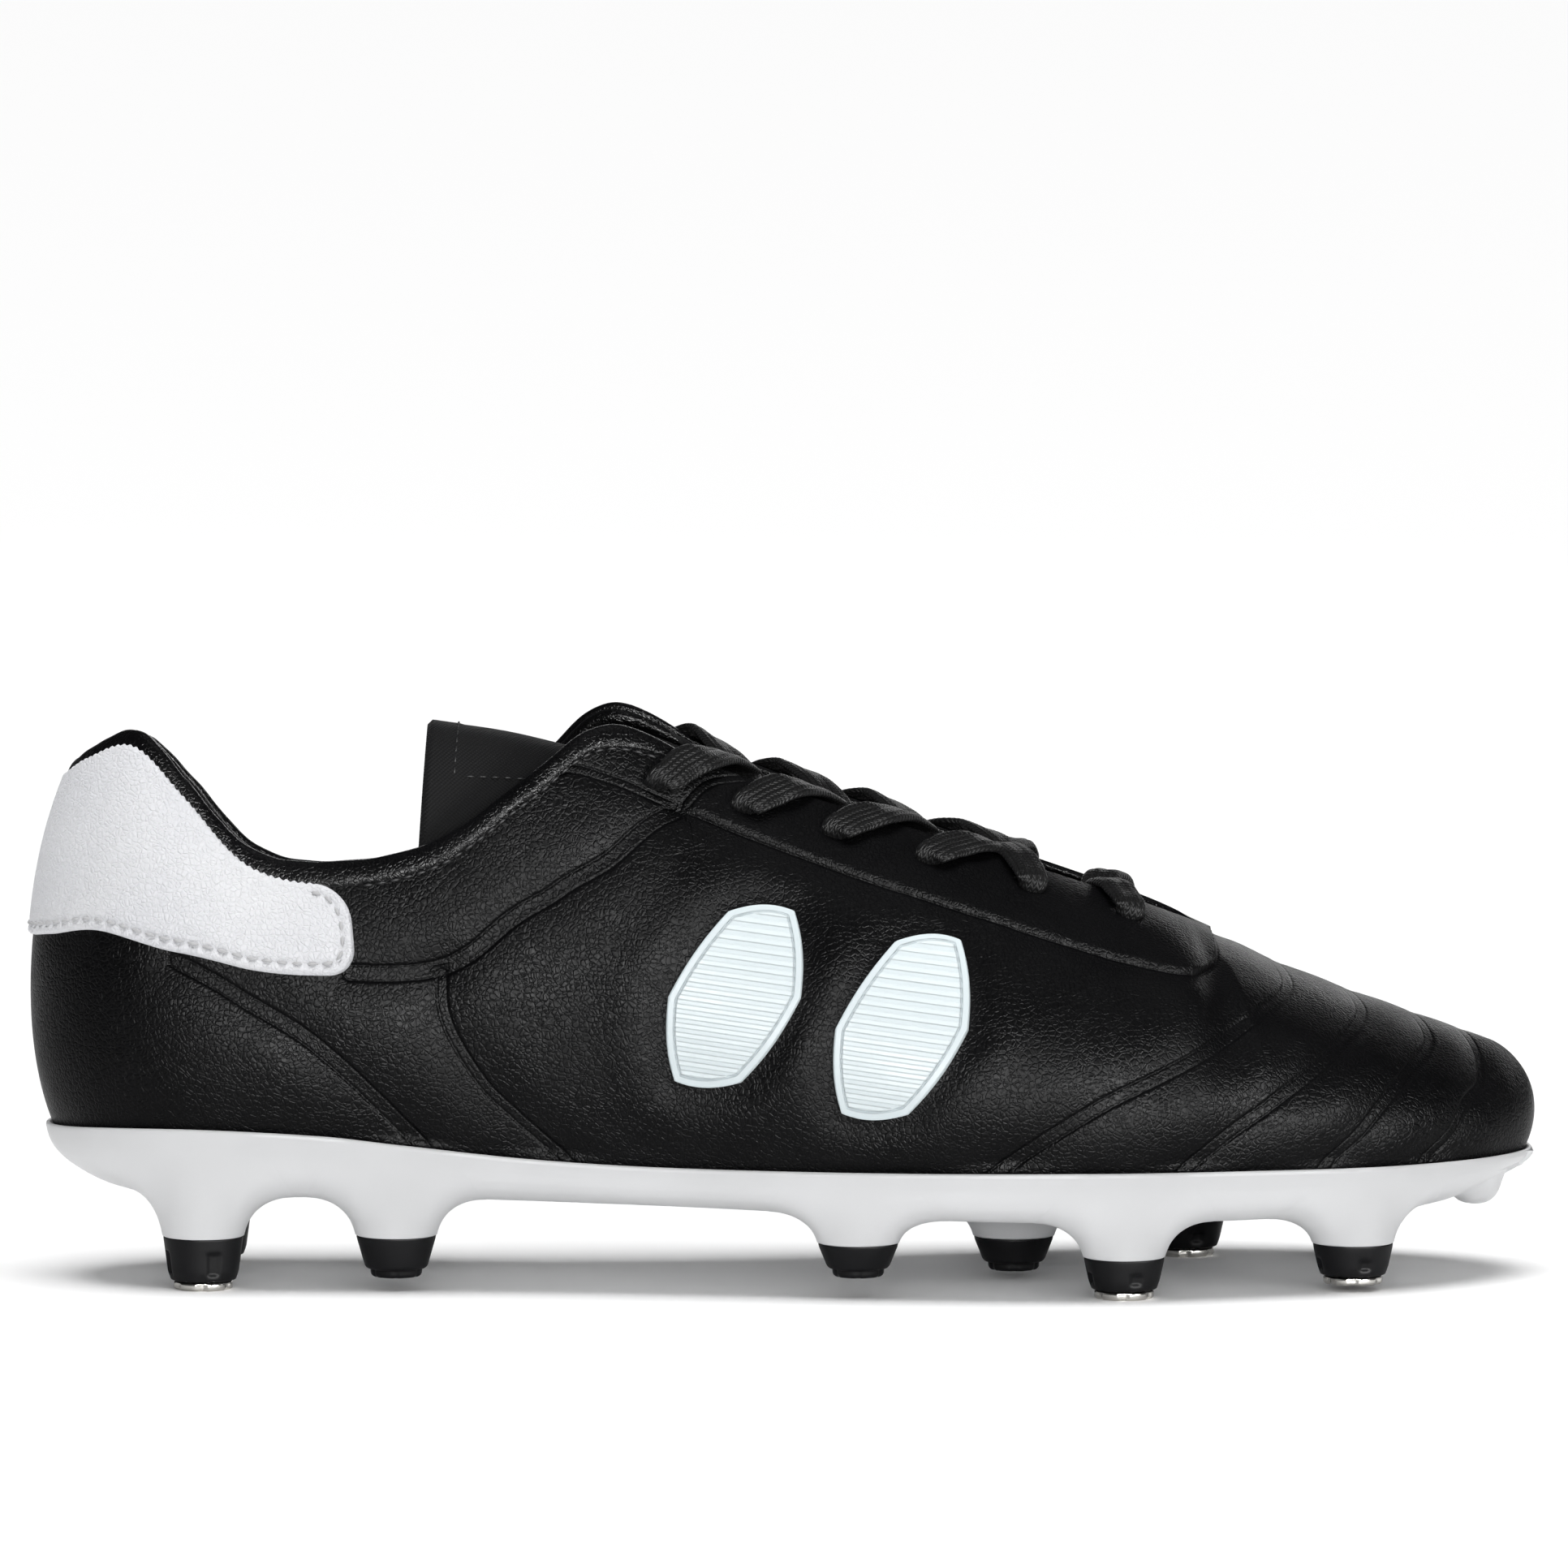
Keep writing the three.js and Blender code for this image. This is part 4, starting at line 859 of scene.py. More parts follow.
def past_eyestay_edge(side, p, u, v):
    """How far over the lace panel's lower edge each point is, negative under it; 1 ahead of its rear end."""
    edge_u, edge_v = drawn_uv(EYESTAY_FRONT)
    region = np.vstack([np.stack([edge_u, edge_v], -1), [[edge_u[-1], 1.2], [edge_u[0], 1.2]]])
    d = distance_to(p, upper_point(side, edge_u, edge_v), FAR)
    ahead = smoothstep(u, edge_u[0] - 0.2, edge_u[0] + 0.15)
    return np.where(inside(region, u, v), d, -d), ahead


def pressed_face(points, where):
    """The whole upper's height over the plain face, and its sharp lines' distance and weight."""
    side, u, v = where.T
    found = np.zeros((3, len(points)))
    for one in (LATERAL, MEDIAL):
        mine = side == one
        found[:, mine] = pressed_side(one, points[mine], u[mine], v[mine])
    return found


def add_upper():
    us = even_stations(0, TOE, CELL)
    points, faces, where = upper_sheet(us, np.linspace(0, 1, ROWS_UP))
    normals = vertex_normals(points, faces)
    height, sharp, weight = pressed_face(points, where)
    height *= smoothstep(where[:, 2], 0.0, 0.03)
    crown = 0.25 * np.sin(math.pi * np.clip(where[:, 2], 0, 1))
    face = points + normals * (height + crown)[:, None]
    add_piece(
        "leather_upper", face, faces, "leather", values={"crease": sharp, "press": weight},
        replaces=(
            "vamp", "quarter_lateral", "quarter_medial", "eyestay_facing_lateral", "eyestay_facing_medial",
        ),
    )
    add_margin(us)
    add_throat_edges()


def add_margin(us):
    """The leather's turned-in margin, which runs down inside the plate's rim."""
    rows = [(0, 0), (0.35, -1.0), (0.6, -3.2)]  # inset, height over the feather edge
    grids = []
    for side in (LATERAL, MEDIAL):
        base = upper_point(side, us, np.zeros_like(us))
        n = outward_at(side, us)
        steps = [np.column_stack([-n * inset, np.full(len(us), rise)]) for inset, rise in rows]
        grids.append(np.stack([base + step for step in steps], 1))
    points, faces, _ = weld(*side_by_side(grids, flip=LATERAL))
    add_piece("leather_margin", points, faces, "leather")


def add_throat_edges():
    """The leather's rolled edge round the lace opening, and the stitched facing that shows under it."""
    us = even_stations(8.2, RIDGE_START, 0.8)
    edge_rows = [(1.0, 0.0), (1.004, 0.35), (1.004, 0.9), (0.99, 1.35), (0.9, 1.5)]  # v, depth
    facing_rows = [(0.86, 1.6), (1.0, 1.75), (1.018, 2.1), (1.018, 2.7), (1.0, 3.0), (0.8, 3.1)]
    beyond = 60  # what a step of 1 in v is, in millimetres, over the edge
    top = np.ones_like(us)
    for name, rows, look in (("throat_edge", edge_rows, "rim"), ("throat_facing", facing_rows, "binding")):
        grids = []
        for side in (LATERAL, MEDIAL):
            normal = upper_normal(side, us, top * 0.995)
            edge = upper_point(side, us, top)
            up = unit(edge - upper_point(side, us, top * 0.98))
            grids.append(np.stack([
                (edge + up * ((v - 1) * beyond) if v > 1 else upper_point(side, us, top * v)) - normal * depth
                for v, depth in rows
            ], 1))
        add_piece(name, *side_by_side(grids, flip=MEDIAL), look)


# ---- sole plate ---------------------------------------------------------------------------------------------

# The plate's outer wall from the rim down: inset from the feather edge, share of the way to the underside.
WALL = [(-1.1, 0.02), (-1.05, 0.08), (-0.9, 0.16), (-0.3, 0.34), (0.9, 0.52), (3.4, 0.72), (8.5, 0.93), (14, 1)]
# The flare of a stud's boss into the plate: share of its reach, share of the rise to the plate.
FLARE = [(0, 0), (0.05, 0.22), (0.13, 0.44), (0.27, 0.66), (0.48, 0.85), (0.74, 0.965), (1, 1)]
FLARE_REACH = 9.5  # how far the flare runs out where the plate has room
RIM_DROP = 0.4  # how far the plate's rim stops under the feather edge
PLATE_STEP = 1.0  # how far apart the plate's stations are
BOSS_SIDES = 120
# The grip lump under the toe: the middle of its underside, its half lengths, how it rises to the plate, as
# (share of the way out, share of the rise), and the shallow waist across its middle.
BUMPER = {
    "centre": (132.9, 6, 12.9),
    "half": (5.6, 12),
    "profile": [
        (0, 0), (0.1, 0.02), (0.36, 0.17), (0.55, 0.3), (0.71, 0.48), (0.84, 0.76), (0.93, 0.93), (1, 1),
    ],
    "waist": 0.7,
}
STUD_RADIUS = 7.6
# Studs, as their name, place, the height where boss and stud meet, and the height of the tip.
SCREW_STUDS = [
    ("heel_lateral", -110.6, -20.5, 10, 0),
    ("heel_medial", -110.6, 19.5, 10, 0),
    ("ball_lateral", 64.2, -35, 7.7, 0),
    ("ball_medial", 77.6, 33, 7.7, 0),
    ("toe_lateral", 108, -22, 8.9, 1.2),
    ("toe_medial", 110, 29, 8.9, 1.2),
]
MOULDED_STUDS = [
    ("heel_lateral", -73.9, -20.5, 10.2, 2.4),
    ("heel_medial", -73.9, 17.5, 10.2, 2.4),
    ("waist_lateral", 13.9, -32, 10.1, 3.8),
    ("waist_medial", 46.1, 30, 8.6, 2.8),
    ("centre", 43.8, -3, 8, 1.6),
]


def feather_outline():
    """The feather edge as one closed plan line, from the heel round the outer side to the toe and back."""
    us = even_stations(0, TOE, PLATE_STEP)
    lateral, medial = (feather_at(side, us)[:, :2] for side in (LATERAL, MEDIAL))
    return np.vstack([lateral, medial[-2:0:-1]])


def inset_of(xy, outline):
    """How far inside the outline each plan point is, negative outside, and its nearest outline point's x."""
    a, d = outline, np.roll(outline, -1, axis=0) - outline
    inset, near_x = np.zeros(len(xy)), np.zeros(len(xy))
    for part in np.array_split(np.arange(len(xy)), max(len(xy) // 3000, 1)):
        p = xy[part][:, None]
        t = np.clip(((p - a) * d).sum(-1) / (d * d).sum(-1), 0, 1)
        foot = a + t[..., None] * d
        gap = np.linalg.norm(p - foot, axis=-1)
        k = gap.argmin(1)
        inset[part] = gap[np.arange(len(part)), k]
        near_x[part] = foot[np.arange(len(part)), k, 0]
    return np.where(inside(outline, *xy.T), inset, -inset), near_x


def wall_height(inset, near_x, x):
    """The plate's outer face at x, at an inset from the feather edge, whose nearest point is at near_x."""
    top = height_at(FEATHER_HEIGHT, near_x) - RIM_DROP
    share = height_at(WALL, np.minimum(inset, WALL[-1][0]))
    return top + (height_at(UNDERSIDE_HEIGHT, x) - top) * share


def add_plate():
    insets = np.concatenate([np.linspace(-1.1, 1.2, 14), np.linspace(1.6, 14, 22)])
    us = even_stations(0, TOE, PLATE_STEP)
    grids = []
    for side in (LATERAL, MEDIAL):
        foot, xy = inset_plan(side, us, insets)
        z = wall_height(np.broadcast_to(insets, xy.shape[:2]), foot[:, :1], xy[..., 0])
        grids.append(np.concatenate([xy, z[..., None]], -1))
    add_piece("sole_plate", *bridged(grids, flip=MEDIAL), "plate", replaces=("outsole_plate",))
    outline = feather_outline()
    for name, x, y, top, _ in SCREW_STUDS + MOULDED_STUDS:
        add_boss(name, x, y, top, outline)
    add_plate_rim(outline)
    add_bumper(outline)


def add_boss(name, x, y, top, outline):
    """A stud's boss. It flares into the plate, as far as the rim where that is nearer than its full reach."""
    angle = np.arange(BOSS_SIDES) * 2 * math.pi / BOSS_SIDES
    way = np.stack([np.cos(angle), np.sin(angle)], -1)
    tries = np.linspace(0, FLARE_REACH, 60)
    p = np.array([x, y]) + way[:, None] * (STUD_RADIUS + tries)[:, None]
    inset, _ = inset_of(p.reshape(-1, 2), outline)
    fits = inset.reshape(BOSS_SIDES, len(tries)) > -0.9
    room = np.where(fits.all(1), FLARE_REACH, tries[np.argmin(fits, axis=1)])
    for _ in range(6):
        room = (np.roll(room, 1) + 2 * room + np.roll(room, -1)) / 4
    g = np.linspace(0, 1, 34) ** 1.4
    radius = STUD_RADIUS + 0.12 + np.maximum(room, 0.6)[:, None] * g
    xy = np.array([x, y]) + way[:, None] * radius[..., None]
    inset, near_x = inset_of(xy.reshape(-1, 2), outline)
    wall = wall_height(np.maximum(inset, WALL[0][0]), near_x, xy[..., 0].ravel()).reshape(radius.shape) - 0.03
    grid = np.concatenate([xy, (top + (wall - top) * height_at(FLARE, g))[..., None]], -1)
    grid[:, 0, 2] = top + 0.25

    def ring(step_in, z):
        return np.concatenate([xy[:, :1] - way[:, None] * step_in, np.full((BOSS_SIDES, 1, 1), z)], -1)

    grid = np.concatenate([ring(4.5, top + 0.35), ring(0.45, top), grid], 1)
    grid = np.concatenate([grid, grid[:1]])
    points, faces, _ = weld(grid.reshape(-1, 3), quads(*grid.shape[:2]), 1e-4)
    add_piece(f"boss_{name}", points, faces, "plate")


def add_plate_rim(outline):
    """The plate's lip, which rounds over from the outer wall and hugs the leather's edge."""
    profile = [
        (-1.1, -0.75), (-1.12, -0.3), (-1.02, 0.02), (-0.75, 0.18), (-0.4, 0.12), (-0.12, -0.1), (0.1, -0.9),
        (0.4, -3),
    ]
    d = np.roll(outline, -1, axis=0) - np.roll(outline, 1, axis=0)
    normals = unit(np.stack([d[:, 1], -d[:, 0]], -1))
    edge = height_at(FEATHER_HEIGHT, outline[:, 0]) - RIM_DROP
    grid = np.stack([np.column_stack([outline - normals * inset, edge + rise]) for inset, rise in profile], 1)
    grid = np.concatenate([grid, grid[:1]])
    points, faces, _ = weld(grid.reshape(-1, 3), quads(len(grid), len(profile), flip=True), 1e-4)
    add_piece("sole_plate_lip", points, faces, "plate")


def add_bumper(outline):
    """The grip lump under the toe, which swells out of the plate and drops steeply at its front."""
    (cx, cy, bottom), (hx, hy) = BUMPER["centre"], BUMPER["half"]
    angle, g = np.linspace(0, 2 * math.pi, 81), np.linspace(0, 1, 30)
    squareness = 1 / (np.abs(np.cos(angle)) ** 3 + np.abs(np.sin(angle)) ** 3) ** (1 / 3)
    x = cx + hx * (squareness * np.cos(angle))[:, None] * g
    y = cy + hy * (squareness * np.sin(angle))[:, None] * g
    xy = np.stack([x, y], -1).reshape(-1, 2)
    inset, near_x = inset_of(xy, outline)
    wall = wall_height(np.maximum(inset, WALL[0][0]), near_x, xy[:, 0]).reshape(x.shape) + 0.02
    share = height_at(BUMPER["profile"], np.broadcast_to(g, x.shape))
    waist = BUMPER["waist"] * bell(y - cy, 2.6) * (1 - share)
    z = bottom + waist + (wall - bottom) * share
    points, faces, _ = weld(np.stack([x, y, z], -1).reshape(-1, 3), quads(len(angle), len(g), flip=True), 1e-4)
    add_piece("toe_bumper", points, faces, "plate")


# ---- studs --------------------------------------------------------------------------------------------------

STUD_TURN = 96  # steps round a stud
SLEEVE_OVERLAP = 0.25  # how far a stud's top is sunk in its boss
SHANK, PEG = 2.6, 4.1  # the radii of what holds a screw stud and a moulded one


def lathe(profile, x, y, shape):
    """A surface turned from (radius, z) round a vertical axis. shape(angle, radius, z) changes the radius."""
    angle = np.arange(STUD_TURN)[:, None] * 2 * math.pi / STUD_TURN
    r, z = np.array(profile, float).T
    radius = shape(angle, np.broadcast_to(r, (STUD_TURN, len(r))), z[None])
    z = np.broadcast_to(z, radius.shape)
    grid = np.stack([x + radius * np.cos(angle), y + radius * np.sin(angle), z], -1)
    grid = np.concatenate([grid, grid[:1]])
    return weld(grid.reshape(-1, 3), quads(*grid.shape[:2], flip=True), 1e-4)[:2]


def off_spoke(angle, count, turned=0.0):
    """The angle to the nearest of count lines that lie evenly round an axis."""
    step = 2 * math.pi / count
    return np.abs(np.mod(angle + turned, step) - step / 2)


def rounded(corners, radius=0.35, steps=4):
    """A profile with its inner corners rounded off."""
    made = [np.array(corners[0], float)]
    for before, corner, after in zip(corners, corners[1:], corners[2:]):
        a, b, c = (np.array(p, float) for p in (before, corner, after))
        cut = min(radius, np.linalg.norm(a - b) / 2.2, np.linalg.norm(c - b) / 2.2)
        p, q = b + unit(a - b) * cut, b + unit(c - b) * cut
        for t in np.linspace(0, 1, steps):
            made.append(p * (1 - t) ** 2 + b * 2 * t * (1 - t) + q * t * t)
    made.append(np.array(corners[-1], float))
    return made


def finely(profile, step=0.5):
    """The same profile with no two points further apart than step."""
    made = [np.array(profile[0], float)]
    for a, b in zip(profile, profile[1:]):
        count = max(int(np.linalg.norm(np.subtract(b, a)) / step), 1)
        made += [np.array(a) + (np.array(b) - np.array(a)) * k / count for k in range(1, count + 1)]
    return made


def add_screw_stud(name, x, y, top, tip):
    """A black sleeve with four recesses for the stud key, on a steel pin with a notched head."""
    foot = tip + 1.75
    top_z = top + SLEEVE_OVERLAP
    corners = [
        (2.8, foot + 0.3), (5.4, foot + 0.3), (6.15, foot), (6.75, foot + 1.7), (7.5, top_z - 1.1),
        (7.62, top_z - 0.25), (7.3, top_z), (2.8, top_z),
    ]

    def key_recess(angle, radius, z):
        across = smoothstep(off_spoke(angle, 4, math.pi / 7) * 7, 0.9, 1.35)
        upright = smoothstep(z, foot + 1.0, foot + 1.7) * (1 - smoothstep(z, top_z - 3.2, top_z - 2.6))
        return radius - 0.75 * (1 - across) * upright * (radius > 5)

    body = f"stud_{name}"
    sleeve = lathe(finely(rounded(corners, 0.4), 0.4), x, y, key_recess)
    add_piece(f"sleeve_{name}", *sleeve, "stud", body, (f"stud_sleeve_{name}",))
    head = [
        (0, tip + 0.1), (3.9, tip + 0.1), (4.3, tip), (5.25, tip), (5.65, tip + 0.35), (5.65, tip + 1.3),
        (5.35, tip + 1.6), (SHANK, tip + 1.6),
    ]
    shank = [(SHANK, tip + 1.6), (SHANK, top + 5.8), (0, top + 5.8)]

    def notches(angle, radius, z):
        cut = (1 - smoothstep(off_spoke(angle, 6), 0.1, 0.16)) * (radius > 4.6) * (z < tip + 1.3)
        return radius - 0.55 * cut

    pin = lathe(finely(rounded(head, 0.2), 0.3) + shank, x, y, notches)
    add_piece(f"tip_{name}", *pin, "steel", body, (f"stud_pin_{name}",))


def add_moulded_stud(name, x, y, top, tip):
    """A black stud with a stepped, narrower tip."""
    top_z = top + SLEEVE_OVERLAP
    corners = [
        (0, tip), (4.4, tip), (4.85, tip + 0.5), (4.95, tip + 1.55), (5.55, tip + 1.6), (6.0, tip + 2.1),
        (7.45, top_z - 0.9), (7.6, top_z - 0.25), (7.2, top_z), (PEG, top_z), (PEG, top + 4.1), (0, top + 4.1),
    ]

    def facets(angle, radius, z):
        low = (z < tip + 1.6) & (radius > 4)
        return radius - 0.25 * (1 - smoothstep(off_spoke(angle, 6), 0.06, 0.16)) * low

    stud = lathe(finely(rounded(corners, 0.35), 0.5), x, y, facets)
    add_piece(f"stud_{name}_fixed", *stud, "stud", "boot", (f"moulded_stud_{name}",))


def add_studs():
    for stud in SCREW_STUDS:
        add_screw_stud(*stud)
    for stud in MOULDED_STUDS:
        add_moulded_stud(*stud)


# ---- heel piece and emblems ---------------------------------------------------------------------------------

OVERLAY_END = 5.2  # the station of the heel piece's front end
OVERLAY_LOW = [(0, 0.535), (1.7, 0.515), (2.9, 0.52), (3.9, 0.575), (5.2, 0.6)]
OVERLAY_HIGH = [(0, 0.982), (1.3, 0.984), (2.4, 0.981), (3.5, 0.969), (4.4, 0.958), (5.2, 0.94)]
OVERLAY_THICK = 1.0
OVERLAY_CORNERS = {"low": (5.5, 5.5), "high": (7.0, 8.5)}  # how far each corner is rounded, along and up
ZIGZAG = {"pitch": 1.5, "height": 0.6}
OVERLAY_STEP = 0.3  # from one station to the next, short enough for the zigzag's teeth
HEEL_ROW_INSET = 2.1  # from the heel piece's edge to its row of stitches
HEEL_ROW_BACK = 7.5  # how far back from the front end the row runs under the upper edge
# Stitches, as their pitch, length and radius.
HEEL_STITCH = (2.9, 2.15, 0.36)
COLLAR_STITCH = (2.6, 1.9, 0.3)
TONGUE_STITCH = (2.4, 1.7, 0.2)
RIB_SLOPE = 0.13  # how the side plates' ribs lean, in radians


def corner_cut(left, reach, up):
    """How far an edge gives way at a distance left from the end, in a corner rounded as a quarter ellipse."""
    return up * (1 - np.sqrt(1 - np.clip((reach - left) / reach, 0, 1) ** 2))


def heel_outline(us):
    """The heel piece's edges along the side: its lower and upper v, and v per millimetre; and, laid flat in
    millimetres, the line from the lower edge round the front end to the upper corner."""
    at = length_along(upper_point(LATERAL, us, np.full_like(us, 0.9)))
    left = at[-1] - at
    base, high = height_at(OVERLAY_LOW, us), height_at(OVERLAY_HIGH, us)
    wall = np.linalg.norm(upper_point(LATERAL, us, high) - upper_point(LATERAL, us, base), axis=1)
    scale = (high - base) / wall
    low = base + corner_cut(left, *OVERLAY_CORNERS["low"]) * scale
    high = high - corner_cut(left, *OVERLAY_CORNERS["high"]) * scale
    lower, upper = (np.stack([at, (edge - base) / scale], -1) for edge in (low, high))
    sewn_edge = np.vstack([lower, upper[left <= HEEL_ROW_BACK][::-1]])
    tooth = np.abs(np.mod(at / ZIGZAG["pitch"], 1) - 0.5) * 2 - 0.5
    high = high + ZIGZAG["height"] * tooth * smoothstep(left, 6, 8) * scale
    return low, high, (at, base, scale, sewn_edge)


def add_heel_piece():
    us = even_stations(0, OVERLAY_END, OVERLAY_STEP)
    share = np.linspace(0, 1, 96)
    share = share - 0.035 * np.sin(2 * math.pi * share)
    low, high, flat = heel_outline(us)
    u, s = surface_grid(us, share)
    v = np.repeat(low, len(share)) + np.repeat(high - low, len(share)) * s
    outlines, grids, where = {}, [], []
    for side in (LATERAL, MEDIAL):
        grids.append(upper_point(side, u, v).reshape(len(us), len(share), 3))
        where.append(np.stack([np.full_like(u, side), u, v], -1))
        end = upper_point(side, np.full(9, OVERLAY_END), np.linspace(low[-1], high[-1], 9))
        outlines[side] = np.vstack([upper_point(side, us, low), end, upper_point(side, us, high)[::-1]])
    points, faces, first = weld(*side_by_side(grids, flip=MEDIAL))
    where = np.concatenate(where)[first]
    d = np.minimum(*(distance_to(points, outlines[side], 6.0) for side in (LATERAL, MEDIAL)))
    height, _, _ = pressed_face(points, where)
    bend = 1 - (1 - np.clip(d / 0.8, 0, 1)) ** 2.4
    soft = 0.25 * np.sin(math.pi * np.clip((where[:, 2] - 0.52) / 0.44, 0, 1))
    sewn = -0.24 * bell(d - HEEL_ROW_INSET, 0.5) + 0.08 * bell(d - 1.0, 0.6)
    # The upper edge has no row of stitches behind the front end.
    sewn *= np.maximum(1 - smoothstep(where[:, 2], 0.75, 0.85), smoothstep(where[:, 1], 4.65, 4.85))
    lift = 0.15 + np.clip(height, -0.2, 0.2) + soft + OVERLAY_THICK * bend + sewn - 0.75 * (d < 0.02)
    normals = vertex_normals(points, faces)
    add_piece("heel_piece", points + normals * lift[:, None], faces, "white", replaces=("heel_overlay",))
    for side in (LATERAL, MEDIAL):
        add_heel_stitches(side, us, *flat)


def add_heel_stitches(side, us, at, base, scale, edge):
    """Stitches inside the lower edge and round the front end."""
    edge = even_points(edge, 0.6)
    tangent = unit(np.gradient(edge, axis=0))
    row = smoothed(edge + HEEL_ROW_INSET * np.stack([-tangent[:, 1], tangent[:, 0]], -1), 6)
    u = np.interp(row[:, 0], at, us)
    v = np.interp(u, us, base) + row[:, 1] * np.interp(u, us, scale)
    path = even_points(upper_point(side, u, v), 0.6)
    stitch_on("heel_stitches", side, path, "white_thread_painted_shade", HEEL_STITCH, OVERLAY_THICK + 0.16)


def stitch_on(name, side, path, look, stitch, lift):
    """Stitches along a path on one side's outer face, raised off it by lift."""
    u, v = nearest_on_upper(side, path)
    normal = upper_normal(side, u, np.minimum(v, 0.998))
    add_stitches(f"{name}_{SIDE_NAMES[side]}", path + normal * lift, normal, look, stitch)


def nearest_on_upper(side, points):
    gu, gv = surface_grid(np.linspace(0, TOE, 501), np.linspace(0, 0.999, 81))
    there = upper_point(side, gu, gv)
    parts = np.array_split(points, len(points) // 20 + 1)
    found = np.concatenate([((there[None] - part[:, None]) ** 2).sum(-1).argmin(1) for part in parts])
    return gu[found], gv[found]


def add_emblem(side, centre, place):
    """A plate with a rounded edge, a smooth border and a ribbed field a little lower than it."""
    angles = np.linspace(0, 2 * math.pi, 193)
    shares = np.concatenate([[0], np.linspace(0.06, 0.85, 20), np.linspace(0.87, 1, 18)])
    x, z = emblem_drawn(centre, *surface_grid(angles, shares))
    u, v = find_on_upper(side, x, z)
    p = upper_point(side, u, v)
    cu, cv = find_on_upper(side, *emblem_drawn(centre, angles, 1.0))
    border = distance_to(p, upper_point(side, cu, cv), 30.0)
    edge = 1 - (1 - np.clip(border / 0.55, 0, 1)) ** 2.2
    inner = 0.12 * smoothstep(border, EMBLEM_BORDER - 0.25, EMBLEM_BORDER + 0.2)
    lift = -0.75 + 1.05 * edge - inner - 0.3 * (border < 0.02)
    rib = (z - centre[1]) * math.cos(RIB_SLOPE) + (x - centre[0]) * math.sin(RIB_SLOPE)
    face = p + upper_normal(side, u, v) * lift[:, None]
    points, faces, first = weld(face, quads(len(angles), len(shares), flip=side == LATERAL), 1e-3)
    name = f"{SIDE_NAMES[side]}_{place}"
    add_piece(
        f"emblem_plate_{name}", points, faces, "emblem", replaces=(f"emblem_{name}",),
        values={"rib": rib[first], "border": border[first]},
    )


def add_emblems():
    for side in (LATERAL, MEDIAL):
        for centre, place in zip(EMBLEM_CENTRES, ("rear", "front")):
            add_emblem(side, centre, place)


# ---- collar, lining and footbed -----------------------------------------------------------------------------

BINDING_END = 9.0  # the station where the binding ends
PAD_LOW = 0.64  # the v of the collar pad's lower edge
# The binding's section, as depth under the leather's face and height over its edge: two rolls and a valley.
BINDING = [
    (0.1, -3.2), (-0.2, -2.7), (-0.42, -2.0), (-0.5, -1.0), (-0.42, 0.3), (-0.12, 1.3), (0.4, 2.0), (1.0, 2.25),
    (1.6, 2.05), (2.0, 1.6), (2.2, 1.4), (2.5, 1.75), (3.1, 2.25), (3.9, 2.3), (4.7, 1.75), (5.2, 0.6),
    (5.35, -1.0), (5.2, -2.6), (4.7, -3.6),
]


def top_frame(side, us):
    """Along the top edge: its points, the outward normal there, and the direction up and out of the wall."""
    top = np.ones_like(us)
    edge = upper_point(side, us, top)
    fields = [upper_normal(side, us, top * 0.985), unit(edge - upper_point(side, us, top * 0.97))]
    fields = [smoothed(field, 10) for field in fields]
    if us[0] == 0:
        for field in fields:
            field[0, 1] = 0
    return edge, *(unit(field) for field in fields)


def add_binding():
    us = even_stations(0, BINDING_END, 0.6)
    depth, height = smooth_curve(BINDING, 4).T
    size = (1 - 0.62 * smoothstep(us, 7.9, BINDING_END)) * (1 + 0.05 * np.sin(us * 9.0) * np.sin(us * 3.7 + 1))
    depth = 0.6 + (depth - 0.6) * size[:, None]
    height = -0.5 + (height + 0.5) * size[:, None] - 0.9 * smoothstep(us, 8.3, BINDING_END)[:, None]
    grids = []
    for side in (LATERAL, MEDIAL):
        edge, normal, up = top_frame(side, us)
        grids.append(edge[:, None] - normal[:, None] * depth[..., None] + up[:, None] * height[..., None])
    points, faces, _ = weld(*side_by_side(grids, flip=MEDIAL))
    add_piece("collar_roll", points, faces, "rim", replaces=("collar_binding",))
    for side in (LATERAL, MEDIAL):
        add_collar_stitches(side)


def add_collar_stitches(side):
    """The black row under the binding, from the white heel piece forward to the lace opening."""
    edge, _, up = top_frame(side, even_stations(OVERLAY_END + 0.1, 8.6, 0.5))
    stitch_on("collar_stitches", side, edge - up * 3.4, "black_thread", COLLAR_STITCH, 0.12)


def inner_sheet(name, depth_at, low, high, last, spacing, replaces, closed_depth=None):
    """A cloth layer inside the leather: its inner face, closed by an outer one at closed_depth if given."""
    vs = np.linspace(low, high, max(int(90 * (high - low) / spacing), 8))
    points, faces, where = upper_sheet(even_stations(0, last, spacing), vs)
    normals = vertex_normals(points, faces)
    inner = points - normals * depth_at(where[:, 1], where[:, 2])[:, None]
    turned = [face[::-1] for face in faces]
    if closed_depth is None:
        return add_piece(name, inner, turned, "lining", replaces=replaces)
    outer = points - normals * closed_depth
    count = len(points)
    edges = {(a, b): None for face in faces for a, b in zip(face, face[1:] + face[:1])}
    walls = [[b, a, a + count, b + count] for a, b in edges if (b, a) not in edges]
    all_faces = faces + [[p + count for p in face] for face in turned] + walls
    return add_piece(name, np.concatenate([outer, inner]), all_faces, "lining", replaces=replaces)


